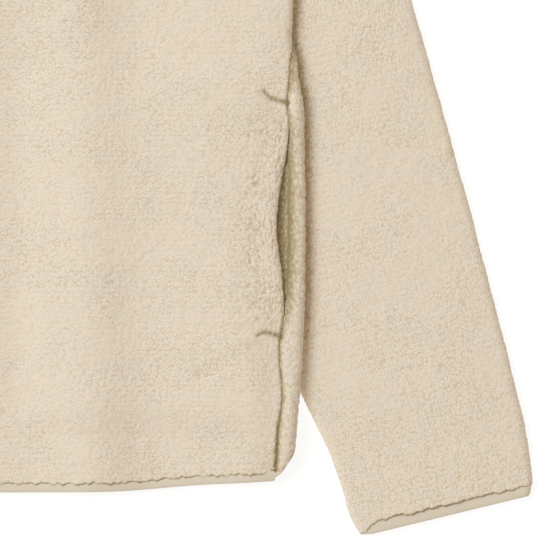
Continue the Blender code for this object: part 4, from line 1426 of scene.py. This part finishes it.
def rounded_tab(low, high, radius):
    """A flat tab with round corners and a slot through it."""
    shape = bmesh.new()
    middle = (low + high) / 2
    half = (high - low) / 2
    edges = []
    for inset, corner in ((0.0, radius), (1.9 * MM, 1.1 * MM)):
        ring = []
        for side_x, side_y, start in ((1, 1, 0), (-1, 1, 90), (-1, -1, 180), (1, -1, 270)):
            for step in range(7):
                angle = math.radians(start + 15 * step)
                x = side_x * (half.x - inset - corner) + corner * math.cos(angle)
                y = side_y * (half.y - inset * 1.6 - corner) + corner * math.sin(angle)
                ring.append(shape.verts.new((middle.x + x, middle.y + y, low.z)))
        edges += [shape.edges.new(ends) for ends in zip(ring, ring[1:] + ring[:1])]
    bmesh.ops.bridge_loops(shape, edges=edges)
    raised = bmesh.ops.extrude_face_region(shape, geom=shape.faces[:] + shape.edges[:])
    top = [item for item in raised["geom"] if isinstance(item, bmesh.types.BMVert)]
    bmesh.ops.translate(shape, verts=top, vec=(0, 0, high.z - low.z))
    bmesh.ops.recalc_face_normals(shape, faces=shape.faces)
    sharp = [edge for edge in shape.edges if edge.is_manifold and edge.calc_face_angle() > 1.2]
    round_off(shape, sharp, 0.25 * MM, 2)
    return shape


def add_shape(whole, part):
    """Adds a finished part to a larger shape."""
    mesh = bpy.data.meshes.new("part")
    part.to_mesh(mesh)
    part.free()
    whole.from_mesh(mesh)
    bpy.data.meshes.remove(mesh)


class MakeStage(bpy.types.Operator):
    """Pale floor, soft light from the left and a camera straight above the left hem"""

    bl_idname = "jacket.stage"
    bl_label = "Stage"

    def execute(self, context):
        stage = context.scene.jacket_stage
        self.floor()
        self.sky(stage.sky)
        self.key_light(stage.key_power)
        camera = bpy.data.objects.new("camera", bpy.data.cameras.new("camera"))
        camera.location = (VIEW_X * MM, (VIEW_Y - ORIGIN_Y) * MM, stage.view_height)
        camera.data.sensor_width = 36
        camera.data.lens = 36 * (stage.view_height - FOCUS_Z * MM) / stage.view_width
        context.scene.collection.objects.link(camera)
        context.scene.camera = camera
        context.scene.view_settings.view_transform = "Standard"
        return {"FINISHED"}

    def floor(self):
        shape = bmesh.new()
        bmesh.ops.create_grid(shape, x_segments=8, y_segments=8, size=12)
        piece = finished("floor", shape)
        material, tree, shader = base_material("floor_paper", 0.9)
        shader.inputs["Base Color"].default_value = (0.25, 0.25, 0.25, 1)
        shader.inputs["Emission Color"].default_value = (1, 1, 1, 1)
        shader.inputs["Emission Strength"].default_value = 0.82
        piece.data.materials.append(material)

    def sky(self, strength):
        world = bpy.data.worlds.new("sky")
        world.use_nodes = True
        background = world.node_tree.nodes["Background"]
        background.inputs["Color"].default_value = (1, 0.895, 0.72, 1)
        background.inputs["Strength"].default_value = strength
        bpy.context.scene.world = world

    def key_light(self, power):
        """A large soft lamp high on the left."""
        lamp = bpy.data.lights.new("key_light", "AREA")
        lamp.energy = power
        lamp.size = KEY_SIZE
        lamp.color = (0.86, 0.95, 1.0)
        item = bpy.data.objects.new("key_light", lamp)
        item.location = KEY_PLACE
        item.rotation_mode = "QUATERNION"
        item.rotation_quaternion = (Vector(KEY_AIM) - item.location).to_track_quat("-Z", "Y")
        item.visible_camera = False
        bpy.context.scene.collection.objects.link(item)


class JacketPanel(bpy.types.Panel):
    """Lists the jacket's pieces, its colours and its stage"""

    bl_idname = "VIEW3D_PT_jacket"
    bl_label = "Sherpa jacket"
    bl_space_type = "VIEW_3D"
    bl_region_type = "UI"
    bl_category = "Jacket"

    def draw(self, context):
        for group in (context.scene.jacket_cloth, context.scene.jacket_stage):
            for name in group.__annotations__:
                self.layout.prop(group, name)
        for maker in MAKERS:
            self.layout.operator(maker.bl_idname)


MAKERS = (
    MakeFronts, MakeBack, MakeSleeves, MakeCollar, MakeBindings, MakePockets, MakeZip, MakeStage,
)
CLASSES = (JacketCloth, JacketStage, *MAKERS, JacketPanel)


def register():
    for item in CLASSES:
        bpy.utils.register_class(item)
    bpy.types.Scene.jacket_cloth = PointerProperty(type=JacketCloth)
    bpy.types.Scene.jacket_stage = PointerProperty(type=JacketStage)


def unregister():
    del bpy.types.Scene.jacket_stage
    del bpy.types.Scene.jacket_cloth
    for item in reversed(CLASSES):
        bpy.utils.unregister_class(item)


def main():
    register()
    for maker in MAKERS:
        family, action = maker.bl_idname.split(".")
        getattr(getattr(bpy.ops, family), action)()


if __name__ == "__main__":
    main()
